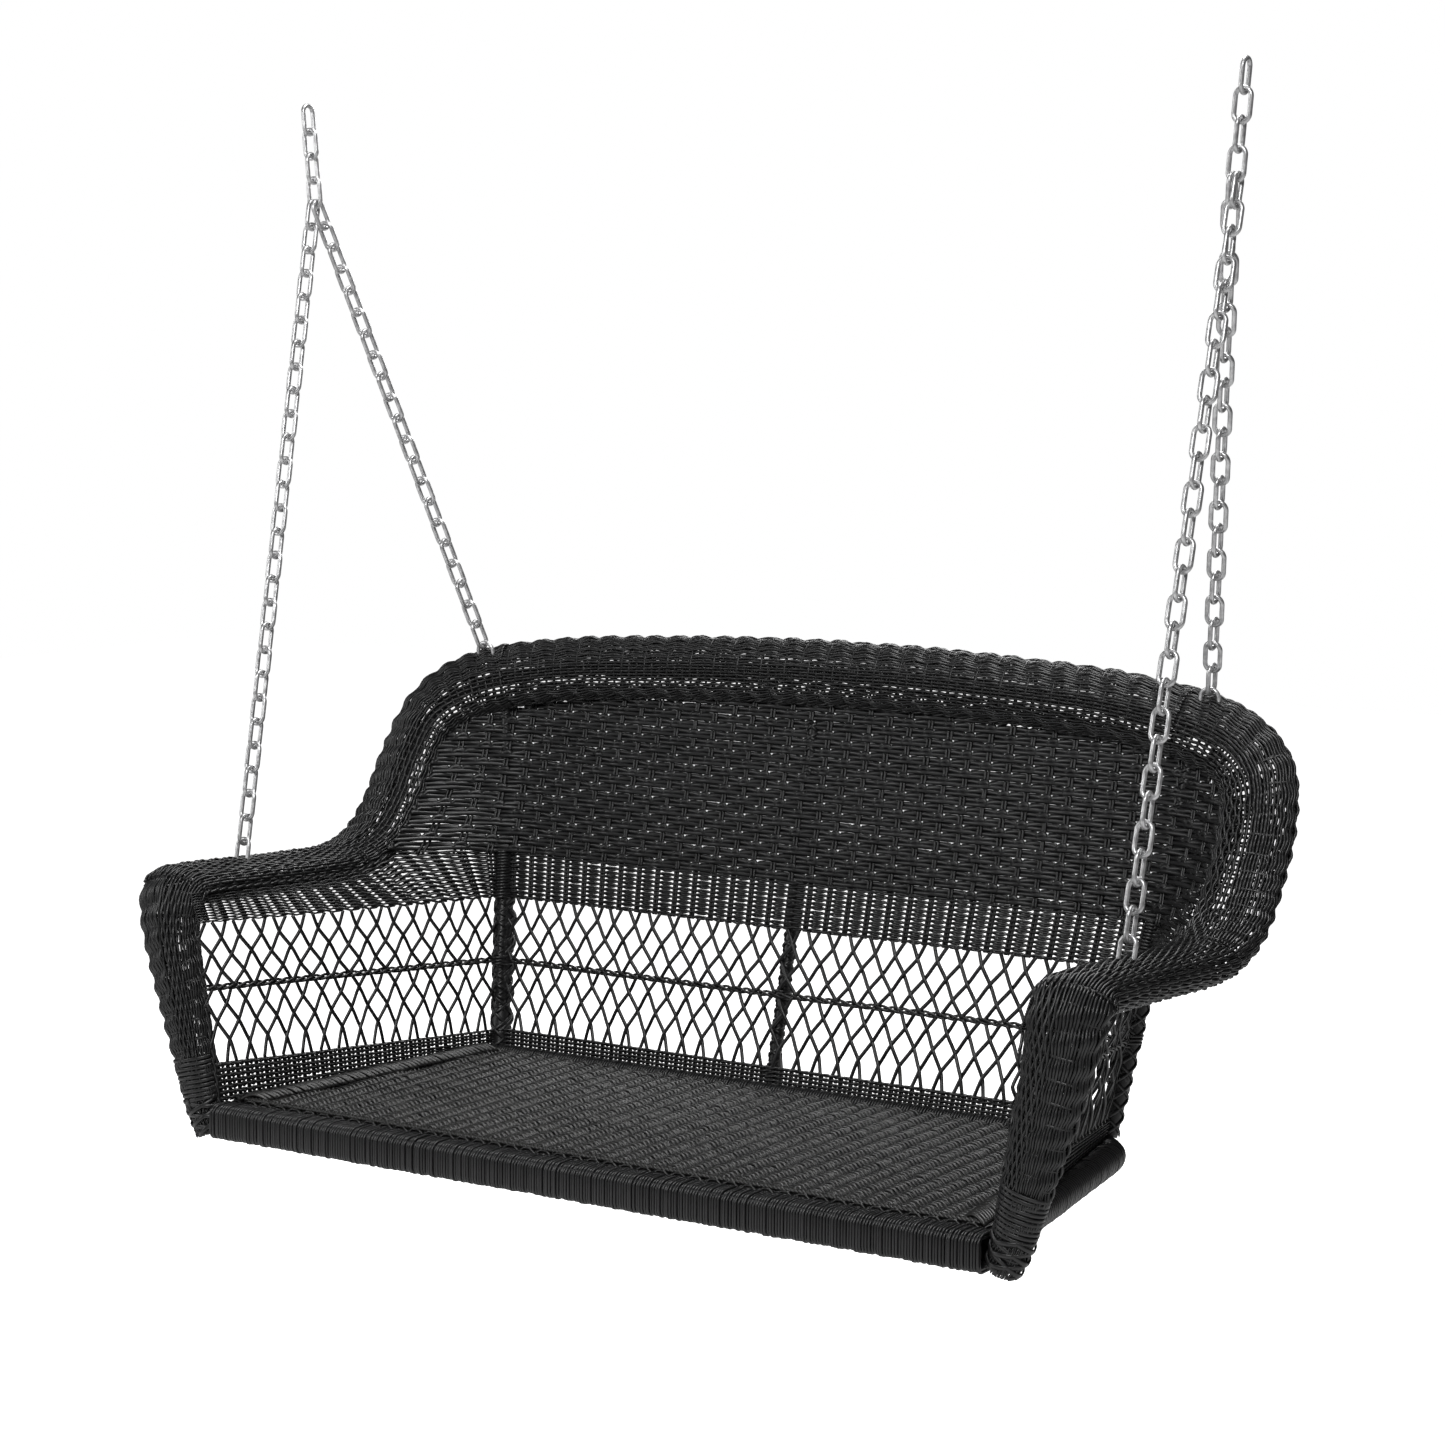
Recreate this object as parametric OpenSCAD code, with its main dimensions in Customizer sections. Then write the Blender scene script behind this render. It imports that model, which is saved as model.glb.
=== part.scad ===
// Wicker porch swing: a woven seat basket on a tube frame, hung on chains.
// Units are millimetres. X runs along the seat, +Y to its back, +Z up.
// The origin lies on the plane of the rail undersides, under the middle of the basket.

/* [Basket] */
// Length of the front rail
front_w = 1200; // [1120:10:1260]
// Depth from the front face to the foot of the back
seat_d = 515; // [490:5:540]
// Height of the wound front rail
rail_h = 46; // [42:1:50]
// How far each side rail runs inward on its way to the back
side_taper = 70; // [40:2:80]
// Lean of the back from upright, in degrees
back_lean = 13.6; // [11:0.2:16]
// Depth of the whole basket, front rail to the rear of the top roll
basket_d = 665; // [645:5:685]

/* [Rolled border] */
// Width of the rolled border on the arms
roll_w = 105; // [95:1:110]
// Thickness of the rolled border
roll_t = 56; // [52:1:58]
// Wall of the woven cover of the border
roll_wall = 4; // [3:0.5:5]
// Height of the arm border's middle line
arm_h = 325; // [316:1:334]
// How far the arm border stands outside the end of the front rail
arm_out = 77; // [70:1:84]
// Height of the border's middle line at the centre of the back
back_h = 603; // [594:1:612]

/* [Frame tubes] */
// Outer radius of the seat frame tubes
rail_r = 17; // [15:0.5:18]
// Wall of the seat frame tubes
tube_wall = 2; // [1.5:0.25:3]
// Radius of the hoop tube inside the rolled border
hoop_r = 9; // [8:0.5:10]
// Radius of the upright posts
post_r = 8; // [7:0.5:9]
// Wall of the hoop tube and the posts
thin_wall = 1.5; // [1:0.25:2]

/* [Weave] */
// Thickness of the woven panels
weave_t = 5; // [4:0.5:6]
// Width of one lattice reed
reed_w = 5; // [3:0.5:6]
// Spacing of the lattice crossings along a panel
lattice_pitch = 32; // [28:1:40]
// Thickness of the winding on the seat frame tubes
wrap_t = 4; // [3:0.5:4.5]

/* [Chains] */
// Outer length of one link
link_l = 46; // [42:1:50]
// Outer width of one link
link_w = 26; // [24:1:28]
// Thickness of the chain wire
wire_d = 6; // [5:0.5:6]
// Height of the point where each upper chain splits into two legs
split_z = 1242; // [1150:2:1300]
// How far the split points lie behind the front face
split_back = 384; // [340:1:400]
// Distance of each split point from the middle of the seat
split_x = 700; // [680:2:710]
// Outward lean of the upper chains, in degrees
upper_lean = 5; // [3:0.5:7]
// Number of links in each upper chain, without the top link
upper_links = 3; // [3:1:9]

/* [Hidden] */

$fn = 32;
reed_black = [0.09, 0.09, 0.095];
tube_grey = [0.3, 0.31, 0.32];
chain_silver = [0.68, 0.69, 0.7];

// Small clearance between neighbouring pieces
gap = 0.6;
rail_d = 45;
frame_z = rail_r + wrap_t + 7;
seat_z = rail_h + 2;
rail_front_x = front_w / 2 - rail_r - wrap_t - 2;
rail_rear_x = rail_front_x - side_taper;
corner_r = 48;

// Y of a point d behind the front face
function fy(d) = d - basket_d / 2;
// Y of the back's surface at height z
function back_y(z) = fy(seat_d) + (z - 65) * tan(back_lean);
function unit(v) = v / norm(v);
function mix(a, b, t) = a + (b - a) * t;
function flip(p) = [-p[0], p[1], p[2]];
function flipped(rings) = [for (i = [len(rings) - 1:-1:0]) [for (p = rings[i]) flip(p)]];
// Rings that end at the middle, carried on to the left as their mirror image
function mirrored_on(half) = concat(half, flipped([for (i = [0:len(half) - 2]) half[i]]));

// ---- Swept solids --------------------------------------------------------------

// Triangles of the wall between ring i and ring i + 1, for rings of n points
function wall(i, n, from = 0) = [
  for (j = [0:n - 1])
    let (a = from + i * n + j, b = from + i * n + (j + 1) % n)
    each [[a, b, b + n], [a, b + n, a + n]]
];
function turned(faces) = [for (f = faces) [f[2], f[1], f[0]]];

// Hollow solid between outer rings and inner rings, open at both ends
module hollow_skin(outer, inner) {
  n = len(outer[0]);
  m = len(outer);
  off = m * n;
  end = (m - 1) * n;
  walls = [for (i = [0:m - 2]) each concat(wall(i, n), turned(wall(i, n, off)))];
  first = [
    for (j = [0:n - 1])
      let (k = (j + 1) % n)
      each [[k, j, off + j], [k, off + j, off + k]]
  ];
  last = [
    for (j = [0:n - 1])
      let (k = (j + 1) % n, a = end + j, b = end + k)
      each [[a, b, off + b], [a, off + b, off + a]]
  ];
  all_points = concat([for (r = outer) each r], [for (r = inner) each r]);
  polyhedron(points = all_points, faces = concat(walls, first, last));
}

// Thin sheet over a grid of points, rows first, t thick
module sheet(grid, t) {
  rows = len(grid);
  cols = len(grid[0]);
  off = rows * cols;
  function slope(i, j) =
    cross(grid[i][min(j + 1, cols - 1)] - grid[i][max(j - 1, 0)],
          grid[min(i + 1, rows - 1)][j] - grid[max(i - 1, 0)][j]);
  function face_points(s) = [
    for (i = [0:rows - 1], j = [0:cols - 1]) grid[i][j] + unit(slope(i, j)) * s * t / 2
  ];
  front = [
    for (i = [0:rows - 2], j = [0:cols - 2])
      let (a = i * cols + j, b = a + 1, c = a + cols)
      each [[a, c, c + 1], [a, c + 1, b]]
  ];
  rear = [for (f = turned(front)) [off + f[0], off + f[1], off + f[2]]];
  // The points round the border, in one direction
  border_loop = concat(
    [for (j = [0:cols - 2]) j],
    [for (i = [0:rows - 2]) i * cols + cols - 1],
    [for (j = [cols - 1:-1:1]) (rows - 1) * cols + j],
    [for (i = [rows - 1:-1:1]) i * cols]
  );
  count = len(border_loop);
  edges = [
    for (k = [0:count - 1])
      let (a = border_loop[k], b = border_loop[(k + 1) % count])
      each [[a, b, off + b], [a, off + b, off + a]]
  ];
  polyhedron(points = concat(face_points(1), face_points(-1)),
             faces = concat(front, rear, edges));
}

// Round bar between two points
module bar(a, b, r) {
  d = b - a;
  translate(a)
    rotate([0, acos(d[2] / norm(d)), atan2(d[1], d[0])])
      cylinder(h = norm(d), r = r);
}

// Open tube between two points
module tube(a, b, r, t) {
  difference() {
    bar(a, b, r);
    bar(a - unit(b - a), b + unit(b - a), r - t);
  }
}

// Draws its children on the right, or mirrored on the left
module side(left) {
  if (left) mirror([1, 0, 0]) children();
  else children();
}

// ---- The rolled border's path --------------------------------------------------

arm_x = front_w / 2 + arm_out;
// Each station: X, distance behind the front face, Z, tilt of the section, width, thickness
border = [
  [front_w / 2 - 2, 24, 2, 90, 44, 40],
  [front_w / 2 + 12, 24, 36, 90, 54, 42],
  [front_w / 2 + 28, 24, 96, 90, 66, 44],
  [front_w / 2 + 46, 25, 165, 90, 78, 46],
  [front_w / 2 + 68, 27, 254, 90, 90, 50],
  [arm_x - 3, 32, arm_h - 28, 80, 100, roll_t - 4],
  [arm_x, 46, arm_h - 3, 40, roll_w, roll_t],
  [arm_x, 74, arm_h + 1, 0, roll_w, roll_t],
  [arm_x - 2, 180, arm_h - 4, 0, roll_w, roll_t],
  [arm_x - 2, 290, arm_h - 10, 0, roll_w, roll_t],
  [arm_x - 2, 385, arm_h - 10, 8, roll_w, roll_t],
  [arm_x - 3, 457, arm_h + 13, 35, roll_w, roll_t],
  [arm_x - 4, 506, arm_h + 62, 52, roll_w, roll_t],
  [arm_x - 6, 547, arm_h + 128, 60, roll_w, roll_t],
  [arm_x - 21, 578, arm_h + 185, 68, roll_w, roll_t],
  [arm_x - 65, 601, back_h - 55, 73, roll_w - 5, roll_t],
  [arm_x - 138, 616, back_h - 32, 76, roll_w - 10, roll_t],
  [arm_x - 244, 628, back_h - 17, 76, roll_w - 13, roll_t],
  [arm_x - 364, 634, back_h - 9, 76, roll_w - 14, roll_t],
  [arm_x - 522, 636, back_h - 2, 76, roll_w - 14, roll_t],
  [0, 636, back_h, 76, roll_w - 14, roll_t]
];
// Stations where one piece of the border ends and the next begins
arm_front_end = 6;
arm_end = 10;
shoulder_end = 16;
centre_end = 20;

// Point on the smooth curve through the stations, t from 0 to 1 after station i
function station(i, t) =
  let (
    last = len(border) - 1,
    a = border[max(i - 1, 0)],
    b = border[i],
    c = border[min(i + 1, last)],
    d = border[min(i + 2, last)]
  )
  0.5 * (2 * b + (c - a) * t + (2 * a - 5 * b + 4 * c - d) * t * t
    + (3 * b - a - 3 * c + d) * t * t * t);

function centre(s) = [s[0], fy(s[1]), s[2]];

// Direction of that curve at station i + t
function heading(i, t) =
  let (
    last = len(border) - 1,
    a = border[max(i - 1, 0)],
    b = border[i],
    c = border[min(i + 1, last)],
    d = border[min(i + 2, last)],
    v = c - a + 2 * (2 * a - 5 * b + 4 * c - d) * t + 3 * (3 * b - a - 3 * c + d) * t * t
  )
  unit([v[0], v[1], v[2]]);

// Direction across the border's width, away from the seat
function outward(i, t) =
  let (tilt = station(i, t)[3])
  unit(cross([0, sin(tilt), -cos(tilt)], heading(i, t)));

// Ring of n points round the curve at station i + t, inset from the outside
function ring(i, t, inset, n = 12) =
  let (
    s = station(i, t),
    out = outward(i, t),
    thick = cross(heading(i, t), out)
  )
  [for (k = [0:n - 1])
    centre(s) + out * (s[4] / 2 - inset) * cos(k * 360 / n)
      + thick * (s[5] / 2 - inset) * sin(k * 360 / n)];

// Rings from station a to station b, each span cut in steps
function rings(a, b, inset, steps = 2) = concat(
  [for (i = [a:b - 1], k = [0:steps - 1]) ring(i, k / steps, inset)],
  [ring(b - 1, 1, inset)]
);

module border_cover(a, b) {
  color(reed_black)
    hollow_skin(rings(a, b, 0), rings(a, b, roll_wall));
}

// Middle of the hoop tube at station i + t: low in the arms, central elsewhere
function hoop_point(i, t) =
  let (s = station(i, t), flat = max(0, cos(s[3])))
  centre(s) - [0, 0, 11.5 * flat];

function hoop_ring(i, t, r, n = 10) =
  let (
    along = heading(i, t),
    level = unit(cross(along, [0.3, 0.5, -0.8])),
    other = cross(along, level)
  )
  [for (k = [0:n - 1])
    hoop_point(i, t) + r * (level * cos(k * 360 / n) + other * sin(k * 360 / n))];

function hoop_rings(a, b, r) = concat(
  [for (i = [a:b - 1], k = [0:1]) hoop_ring(i, k / 2, r)],
  [hoop_ring(b - 1, 1, r)]
);

// ---- Chains --------------------------------------------------------------------

pitch_max = link_l - 2 * wire_d - 0.2;
// Distance between the middles of a link's two end wires
reach = link_l - wire_d;
bend_r = (link_w - wire_d) / 2;
// How far a leg's first wire rides above the wire that it hangs on
leg_lift = wire_d + 2.4;
// How far the two legs stand to the sides of the split
front_offset = wire_d / 2 + 1;
back_offset = wire_d / 2 + 0.7;

split = [split_x, fy(split_back), split_z];
upper_dir = [sin(upper_lean), 0, cos(upper_lean)];
// Middle of the nth link above the split
function upper_at(n) = split + upper_dir * (reach / 2 + n * pitch_max);

arm_ring_r = 9.5;
arm_ring_wire = 5;
arm_ring_at = [arm_x - 3, fy(175), arm_h + 5.4];
arm_hang = arm_ring_at + [0, 0, arm_ring_r - (arm_ring_wire + wire_d) / 2 - 0.2];

back_eye_r = 13;
back_eye_wire = 5.5;
back_eye_foot = hoop_point(15, 0.7);
eye_up = unit([0.28, -0.12, 0.92]);
back_eye_at = back_eye_foot + eye_up * (roll_w / 2 - 8);
back_hang = back_eye_at + eye_up * (back_eye_r - (back_eye_wire + wire_d) / 2 - 0.2);

// One link round the origin: long axis Z, window along Y
module link() {
  color(chain_silver) {
    for (s = [-1, 1]) {
      translate([s * bend_r, 0, -(reach / 2 - bend_r)])
        cylinder(h = reach - 2 * bend_r, r = wire_d / 2);
      translate([0, 0, s * (reach / 2 - bend_r)])
        rotate([90, 0, 0])
          rotate([0, 0, s > 0 ? 0 : 180])
            rotate_extrude(angle = 180)
              translate([bend_r, 0])
                circle(r = wire_d / 2);
    }
  }
}

// Places a link at p, its long axis along d, turned about it by spin
module link_at(p, d, spin) {
  translate(p)
    rotate([0, acos(d[2] / norm(d)), atan2(d[1], d[0])])
      rotate([0, 0, spin - atan2(d[1], d[0])])
        link();
}

// A leg from the split's wire down to the wire at p. Its last link stands at last_spin,
// so the whole leg takes up the twist between its two ends.
module leg(top, p, last_spin) {
  d = unit(p - top);
  run = norm(p - top) + leg_lift - reach;
  spans = ceil(run / pitch_max);
  first_spin = 90;
  twist = (last_spin - first_spin - 90 * spans) % 180;
  for (i = [0:spans])
    link_at(top + d * (reach / 2 - leg_lift + i * run / spans), -d,
            first_spin + i * (90 + twist / spans));
}

module top_link(left) {
  side(left)
    link_at(upper_at(upper_links), upper_dir, 90);
}

module upper_chain(left) {
  side(left)
    for (n = [0:upper_links - 1])
      link_at(upper_at(n), upper_dir, 90 * (n % 2));
}

module chain_front(left) {
  side(left)
    leg(split + [front_offset, 0, 0], arm_hang, 180);
}

module chain_back(left) {
  side(left)
    leg(split - [back_offset, 0, 0], back_hang, 90);
}

module arm_ring(left) {
  color(chain_silver)
    side(left)
      translate(arm_ring_at)
        rotate([0, 90, 0])
          rotate_extrude()
            translate([arm_ring_r, 0])
              circle(r = arm_ring_wire / 2);
}

module back_eye(left) {
  shank = norm(back_eye_at - back_eye_foot) - back_eye_r;
  color(chain_silver)
    side(left)
      translate(back_eye_at)
        rotate([0, acos(eye_up[2]), atan2(eye_up[1], eye_up[0])])
          rotate([0, 0, -atan2(eye_up[1], eye_up[0])]) {
            rotate([90, 0, 0])
              rotate_extrude()
                translate([back_eye_r, 0])
                  circle(r = back_eye_wire / 2);
            translate([0, 0, -back_eye_r - shank + hoop_r])
              cylinder(h = shank - hoop_r, r = 3);
          }
}

// ---- Seat frame ----------------------------------------------------------------

rail_front = [rail_front_x, fy(rail_d + 4), frame_z];
side_run = unit([-side_taper, seat_d - 70, 0]);
rear_y = fy(seat_d - 10);
// Middle of the rounded rear corner, set so that it meets both rails
turn = atan2(side_run[1], -side_run[0]);
corner_reach = corner_r * tan(turn / 2);
line_x = rail_front_x + side_run[0] / side_run[1] * (rear_y - rail_front[1]);
corner_x = line_x - corner_reach;
corner_in = [line_x, rear_y, frame_z] - side_run * corner_reach;

module seat_front_rail() {
  color(tube_grey)
    difference() {
      translate([-front_w / 2 + 18, fy(4), 4])
        cube([front_w - 36, rail_d - 8, rail_h - 8]);
      translate([-front_w / 2, fy(4 + tube_wall), 4 + tube_wall])
        cube([front_w, rail_d - 8 - 2 * tube_wall, rail_h - 8 - 2 * tube_wall]);
    }
}

module seat_side_rail(left) {
  color(tube_grey)
    side(left)
      tube(rail_front, corner_in, rail_r, tube_wall);
}

// Upright ring round the rounded corner's middle line, at angle a from the +X direction
function corner_ring(a, r, n = 16) = [
  for (k = [0:n - 1])
    let (d = corner_r + r * cos(k * 360 / n))
    [corner_x + d * cos(a), rear_y - corner_r + d * sin(a), frame_z + r * sin(k * 360 / n)]
];

// Rings along the back rail, from the right side rail round to the left one
function back_rings(r) =
  let (right = [for (k = [0:5]) corner_ring(90 - turn * (1 - k / 5), r)])
  concat(right, flipped(right));

module back_rail_shape(r, t) {
  hollow_skin(back_rings(r), back_rings(r - t));
}

module seat_back_rail() {
  color(tube_grey)
    back_rail_shape(rail_r, tube_wall);
}

module back_rail_winding() {
  color(reed_black)
    back_rail_shape(rail_r + wrap_t + gap / 2, wrap_t);
}

module side_rail_winding(left) {
  color(reed_black)
    side(left)
      tube(rail_front + side_run * 2, corner_in, rail_r + wrap_t + gap / 2, wrap_t);
}

module front_rail_winding() {
  r = 9;
  bore = wrap_t - gap / 2;
  color(reed_black)
    translate([-front_w / 2 + 26, fy(0), 0])
      rotate([90, 0, 90])
        linear_extrude(front_w - 52)
          difference() {
            union() {
              translate([r, 0]) square([rail_d - 2 * r, rail_h]);
              translate([0, r]) square([rail_d, rail_h - 2 * r]);
              for (x = [r, rail_d - r], y = [r, rail_h - r])
                translate([x, y]) circle(r = r);
            }
            translate([bore, bore]) square([rail_d - 2 * bore, rail_h - 2 * bore]);
          }
}

crossbar_r = 8;
crossbar_z = seat_z - weave_t - crossbar_r - 1;

module seat_crossbars() {
  y0 = fy(rail_d + gap);
  y1 = rear_y - rail_r - wrap_t - 1;
  color(tube_grey)
    for (x = [-1, 0, 1])
      tube([x * front_w * 0.24, y0, crossbar_z], [x * front_w * 0.24, y1, crossbar_z],
           crossbar_r, thin_wall);
}

// Half width of the woven seat, d behind the front face
function seat_half(d) =
  rail_front_x + side_run[0] / side_run[1] * (fy(d) - rail_front[1]) - 19;

module seat_weave() {
  d0 = rail_d + 12;
  d1 = seat_d - 29;
  // The rear corners are cut to clear the rounded frame
  cut = 16;
  color(reed_black)
    translate([0, 0, seat_z - weave_t])
      linear_extrude(weave_t)
        polygon([
          [-seat_half(d0), fy(d0)],
          [seat_half(d0), fy(d0)],
          [seat_half(d1 - cut), fy(d1 - cut)],
          [seat_half(d1) - cut, fy(d1)],
          [-seat_half(d1) + cut, fy(d1)],
          [-seat_half(d1 - cut), fy(d1 - cut)]
        ]);
}

module seat_edge_braid() {
  r = 4;
  color(reed_black)
    translate([-seat_half(rail_d) + 2, fy(rail_d + 5.5), seat_z - 1])
      rotate([0, 90, 0])
        cylinder(h = 2 * seat_half(rail_d) - 4, r = r);
}

// ---- Hoop and posts ------------------------------------------------------------

module hoop(left) {
  color(tube_grey)
    side(left)
      hollow_skin(hoop_rings(0, shoulder_end, hoop_r),
                  hoop_rings(0, shoulder_end, hoop_r - thin_wall));
}

module hoop_top() {
  function whole_hoop(r) = mirrored_on(hoop_rings(shoulder_end, centre_end, r));
  color(tube_grey)
    hollow_skin(whole_hoop(hoop_r), whole_hoop(hoop_r - thin_wall));
}

braid_r = 4;
// The back's corners at the foot of the lattice, and how they spread with height
corner_foot_x = 486.5;
corner_flare = 0.134;
function corner(z) = [corner_foot_x + (z - 65) * corner_flare, back_y(z), z];
post_back = braid_r + post_r + gap;

post_foot = seat_z - 3;
post_top = back_h - 72;

module back_post(x0, x1) {
  z0 = post_foot;
  z1 = post_top;
  color(tube_grey)
    tube([x0, back_y(z0) + post_back, z0], [x1, back_y(z1) + post_back, z1],
         post_r, thin_wall);
}

module corner_post(left) {
  side(left)
    back_post(corner(post_foot)[0], corner(post_top)[0]);
}

// ---- Back panels ---------------------------------------------------------------

// Heights of the panel edges on the back
base_top = 69;
mid_h = 166;
lattice_top = 253;
band_top = 318;
edge_x = 613;
// Slope of the weave's lower edge outside the back's corners
shoulder_rise = 0.1;

// Where the weave's corners curve forward to meet the arms
function shoulder_pull(x, z) =
  let (k = max(0, (abs(x) - 480) / 137), low = 44 + 68 * exp(-(z - 350) / 75))
  low * k * k;
function panel_at(x, z) = [x, back_y(z) - shoulder_pull(x, z), z];

module back_strip(z0, z1, margin, t) {
  x0 = corner(z0)[0] - margin;
  x1 = corner(z1)[0] - margin;
  color(reed_black)
    sheet([
      [[-x0, back_y(z0), z0], [x0, back_y(z0), z0]],
      [[-x1, back_y(z1), z1], [x1, back_y(z1), z1]]
    ], t);
}

module back_base_band() {
  back_strip(seat_z + 6, base_top, 3, weave_t);
}

module back_mid_braid() {
  p = corner(mid_h);
  color(reed_black)
    translate([-p[0] + 4, p[1], mid_h])
      rotate([0, 90, 0])
        cylinder(h = 2 * p[0] - 8, r = braid_r);
}

// Diamond lattice over a flat four-sided field: corners a, b below and c, d above
module lattice(a, b, c, d) {
  ex = unit(b - a);
  ez = unit(cross(ex, d - a));
  ey = cross(ez, ex);
  cells = round(norm(b - a) / lattice_pitch);
  function at(s, t) =
    let (p = mix(mix(a, b, s), mix(d, c, s), t) - a)
    [p * ex, p * ey];
  half_w = norm(b - a) / cells / 2;
  half_h = norm(d - a) / 4;
  keep = 1 - reed_w / 2 * norm([half_w, half_h]) / (half_w * half_h);
  function hole(s, t, ds, dt) = [
    for (q = [[-1, 0], [0, -1], [1, 0], [0, 1]])
      at(s + q[0] * ds * keep, min(1 - 0.03, max(0.03, t + q[1] * dt * keep)))
  ];
  ds = 0.5 / cells;
  full = [
    for (row = [1:3], i = [0:cells - 1])
      if (row % 2 == 1) hole((i + 0.5) / cells, row / 4, ds, 0.25)
      else if (i > 0) hole(i / cells, row / 4, ds, 0.25)
  ];
  outline = [at(0, 0), at(1, 0), at(1, 1), at(0, 1)];
  points = concat(outline, [for (h = full) each h]);
  paths = concat([[0, 1, 2, 3]], [for (k = [0:len(full) - 1]) [for (j = [0:3]) 4 + 4 * k + j]]);
  multmatrix([
    [ex[0], ey[0], ez[0], a[0]],
    [ex[1], ey[1], ez[1], a[1]],
    [ex[2], ey[2], ez[2], a[2]],
    [0, 0, 0, 1]
  ])
    translate([0, 0, -reed_w / 2])
      linear_extrude(reed_w)
        polygon(points = points, paths = paths);
}

module back_lattice(z0, z1) {
  p = corner(z0) - [5, 0, 0];
  q = corner(z1) - [5, 0, 0];
  color(reed_black)
    lattice(flip(p), p, q, flip(q));
}

module back_lattice_lower() {
  back_lattice(base_top + gap, mid_h - braid_r - gap);
}

module back_lattice_upper() {
  back_lattice(mid_h + braid_r + gap, lattice_top);
}

module back_twined_band() {
  back_strip(lattice_top + gap, band_top - gap, 3, weave_t);
}

// Height of the weave's top edge, a broad rounded outline
function weave_top(x) =
  let (mid = arm_h + 115, k = pow(abs(x) / (edge_x + 4), 3))
  mid + (back_h - 54 - mid) * pow(1 - k, 0.34);
// Height of its lower edge, which meets the arm border at the ends
function weave_foot(x) =
  band_top + weave_t / 2
  + max(0, abs(x) - corner(band_top)[0]) * shoulder_rise;

module back_weave_panel() {
  columns = 22;
  rows = 6;
  color(reed_black)
    sheet([
      for (i = [0:rows]) [
        for (j = [-columns / 2:columns / 2])
          let (x = edge_x * sin(90 * j * 2 / columns))
          panel_at(x, mix(weave_foot(x), weave_top(x), i / rows))
      ]
    ], weave_t);
}

// ---- Side panels ---------------------------------------------------------------

// Front and rear ends of each line along the right side
base_low = [[rail_front_x + 13, fy(52), seat_z + 6], corner(seat_z + 6) + [0, -26, 0]];
base_high = [[rail_front_x + 20, fy(52), 97], corner(base_top) + [0, -12, 0]];
mid_line = [[rail_front_x + 31, fy(54), 197], corner(mid_h) + [0, -9, 0]];
lattice_line = [[rail_front_x + 40, fy(60), 284], corner(lattice_top) + [0, -9, 0]];

module side_base_band(left) {
  color(reed_black)
    side(left)
      sheet([base_low, base_high], weave_t);
}

module side_lattice(left, low, high) {
  // The field is flat: both ends rise by the same mean step
  rise = (high[0] - low[0] + high[1] - low[1]) / 2;
  drop = unit(rise) * (braid_r + gap);
  a = low[0] + drop;
  b = low[1] + drop;
  color(reed_black)
    side(left)
      lattice(a, b, b + rise - 2 * drop, a + rise - 2 * drop);
}

module side_mid_braid(left) {
  color(reed_black)
    side(left)
      bar(mid_line[0], mid_line[1], braid_r);
}

// Middle of the border's inner edge at station i, and the band's top edge along the arm
function inner_edge(i) =
  let (s = station(i, 0))
  centre(s) - outward(i, 0) * (s[4] / 2 + weave_t);
arm_line = [for (i = [7:12]) inner_edge(i)];
// Where the band's top edge leaves the arm and turns to the corner of the back
turn_d = 440;

function band_edge(d) = [
  lookup(fy(d), [for (p = arm_line) [p[1], p[0]]]),
  fy(d),
  lookup(fy(d), [for (p = arm_line) [p[1], p[2]]]) - 2
];

// Band from the lattice up to the arm border, spreading outward as it nears the back
module side_band(left) {
  steps = 9;
  d_end = lattice_line[1][1] - fy(0);
  corner_end = corner(band_top) + [-2, -9, 0];
  color(reed_black)
    side(left)
      sheet([
        for (i = [0:2]) [
          for (k = [0:steps])
            let (
              t = k / steps,
              low = mix(lattice_line[0], lattice_line[1], t) + [0, 0, 6],
              d = low[1] - fy(0),
              past = max(0, (d - turn_d) / (d_end - turn_d)),
              high = mix(band_edge(min(d, turn_d)), corner_end, past)
            )
            mix(low, high, i / 2)
        ]
      ], weave_t);
}

// ---- Rolled border -------------------------------------------------------------

module arm_front(left) {
  side(left)
    border_cover(0, arm_front_end);
}

module arm_roll(left) {
  side(left)
    border_cover(arm_front_end, arm_end);
}

module shoulder_roll(left) {
  side(left)
    border_cover(arm_end, shoulder_end);
}

module back_roll() {
  function whole_roll(inset) = mirrored_on(rings(shoulder_end, centre_end, inset, 1));
  color(reed_black)
    hollow_skin(whole_roll(0), whole_roll(roll_wall));
}

top_link(true);  // top_link_left
top_link(false);  // top_link_right
upper_chain(true);  // upper_chain_left
upper_chain(false);  // upper_chain_right
chain_front(true);  // chain_front_left
chain_front(false);  // chain_front_right
chain_back(true);  // chain_back_left
chain_back(false);  // chain_back_right
arm_ring(true);  // arm_ring_left
arm_ring(false);  // arm_ring_right
back_eye(true);  // back_eye_left
back_eye(false);  // back_eye_right
seat_front_rail();
seat_side_rail(true);  // seat_side_rail_left
seat_side_rail(false);  // seat_side_rail_right
seat_back_rail();
seat_crossbars();
front_rail_winding();
side_rail_winding(true);  // side_rail_winding_left
side_rail_winding(false);  // side_rail_winding_right
back_rail_winding();
seat_weave();
seat_edge_braid();
hoop(true);  // hoop_left
hoop(false);  // hoop_right
hoop_top();
corner_post(true);  // back_post_left
corner_post(false);  // back_post_right
back_post(-28, -26);  // back_post_centre
back_base_band();
back_lattice_lower();
back_mid_braid();
back_lattice_upper();
back_twined_band();
back_weave_panel();
side_base_band(true);  // side_base_band_left
side_base_band(false);  // side_base_band_right
side_lattice(true, base_high, mid_line);  // side_lattice_lower_left
side_lattice(false, base_high, mid_line);  // side_lattice_lower_right
side_mid_braid(true);  // side_mid_braid_left
side_mid_braid(false);  // side_mid_braid_right
side_lattice(true, mid_line, lattice_line);  // side_lattice_upper_left
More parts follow.
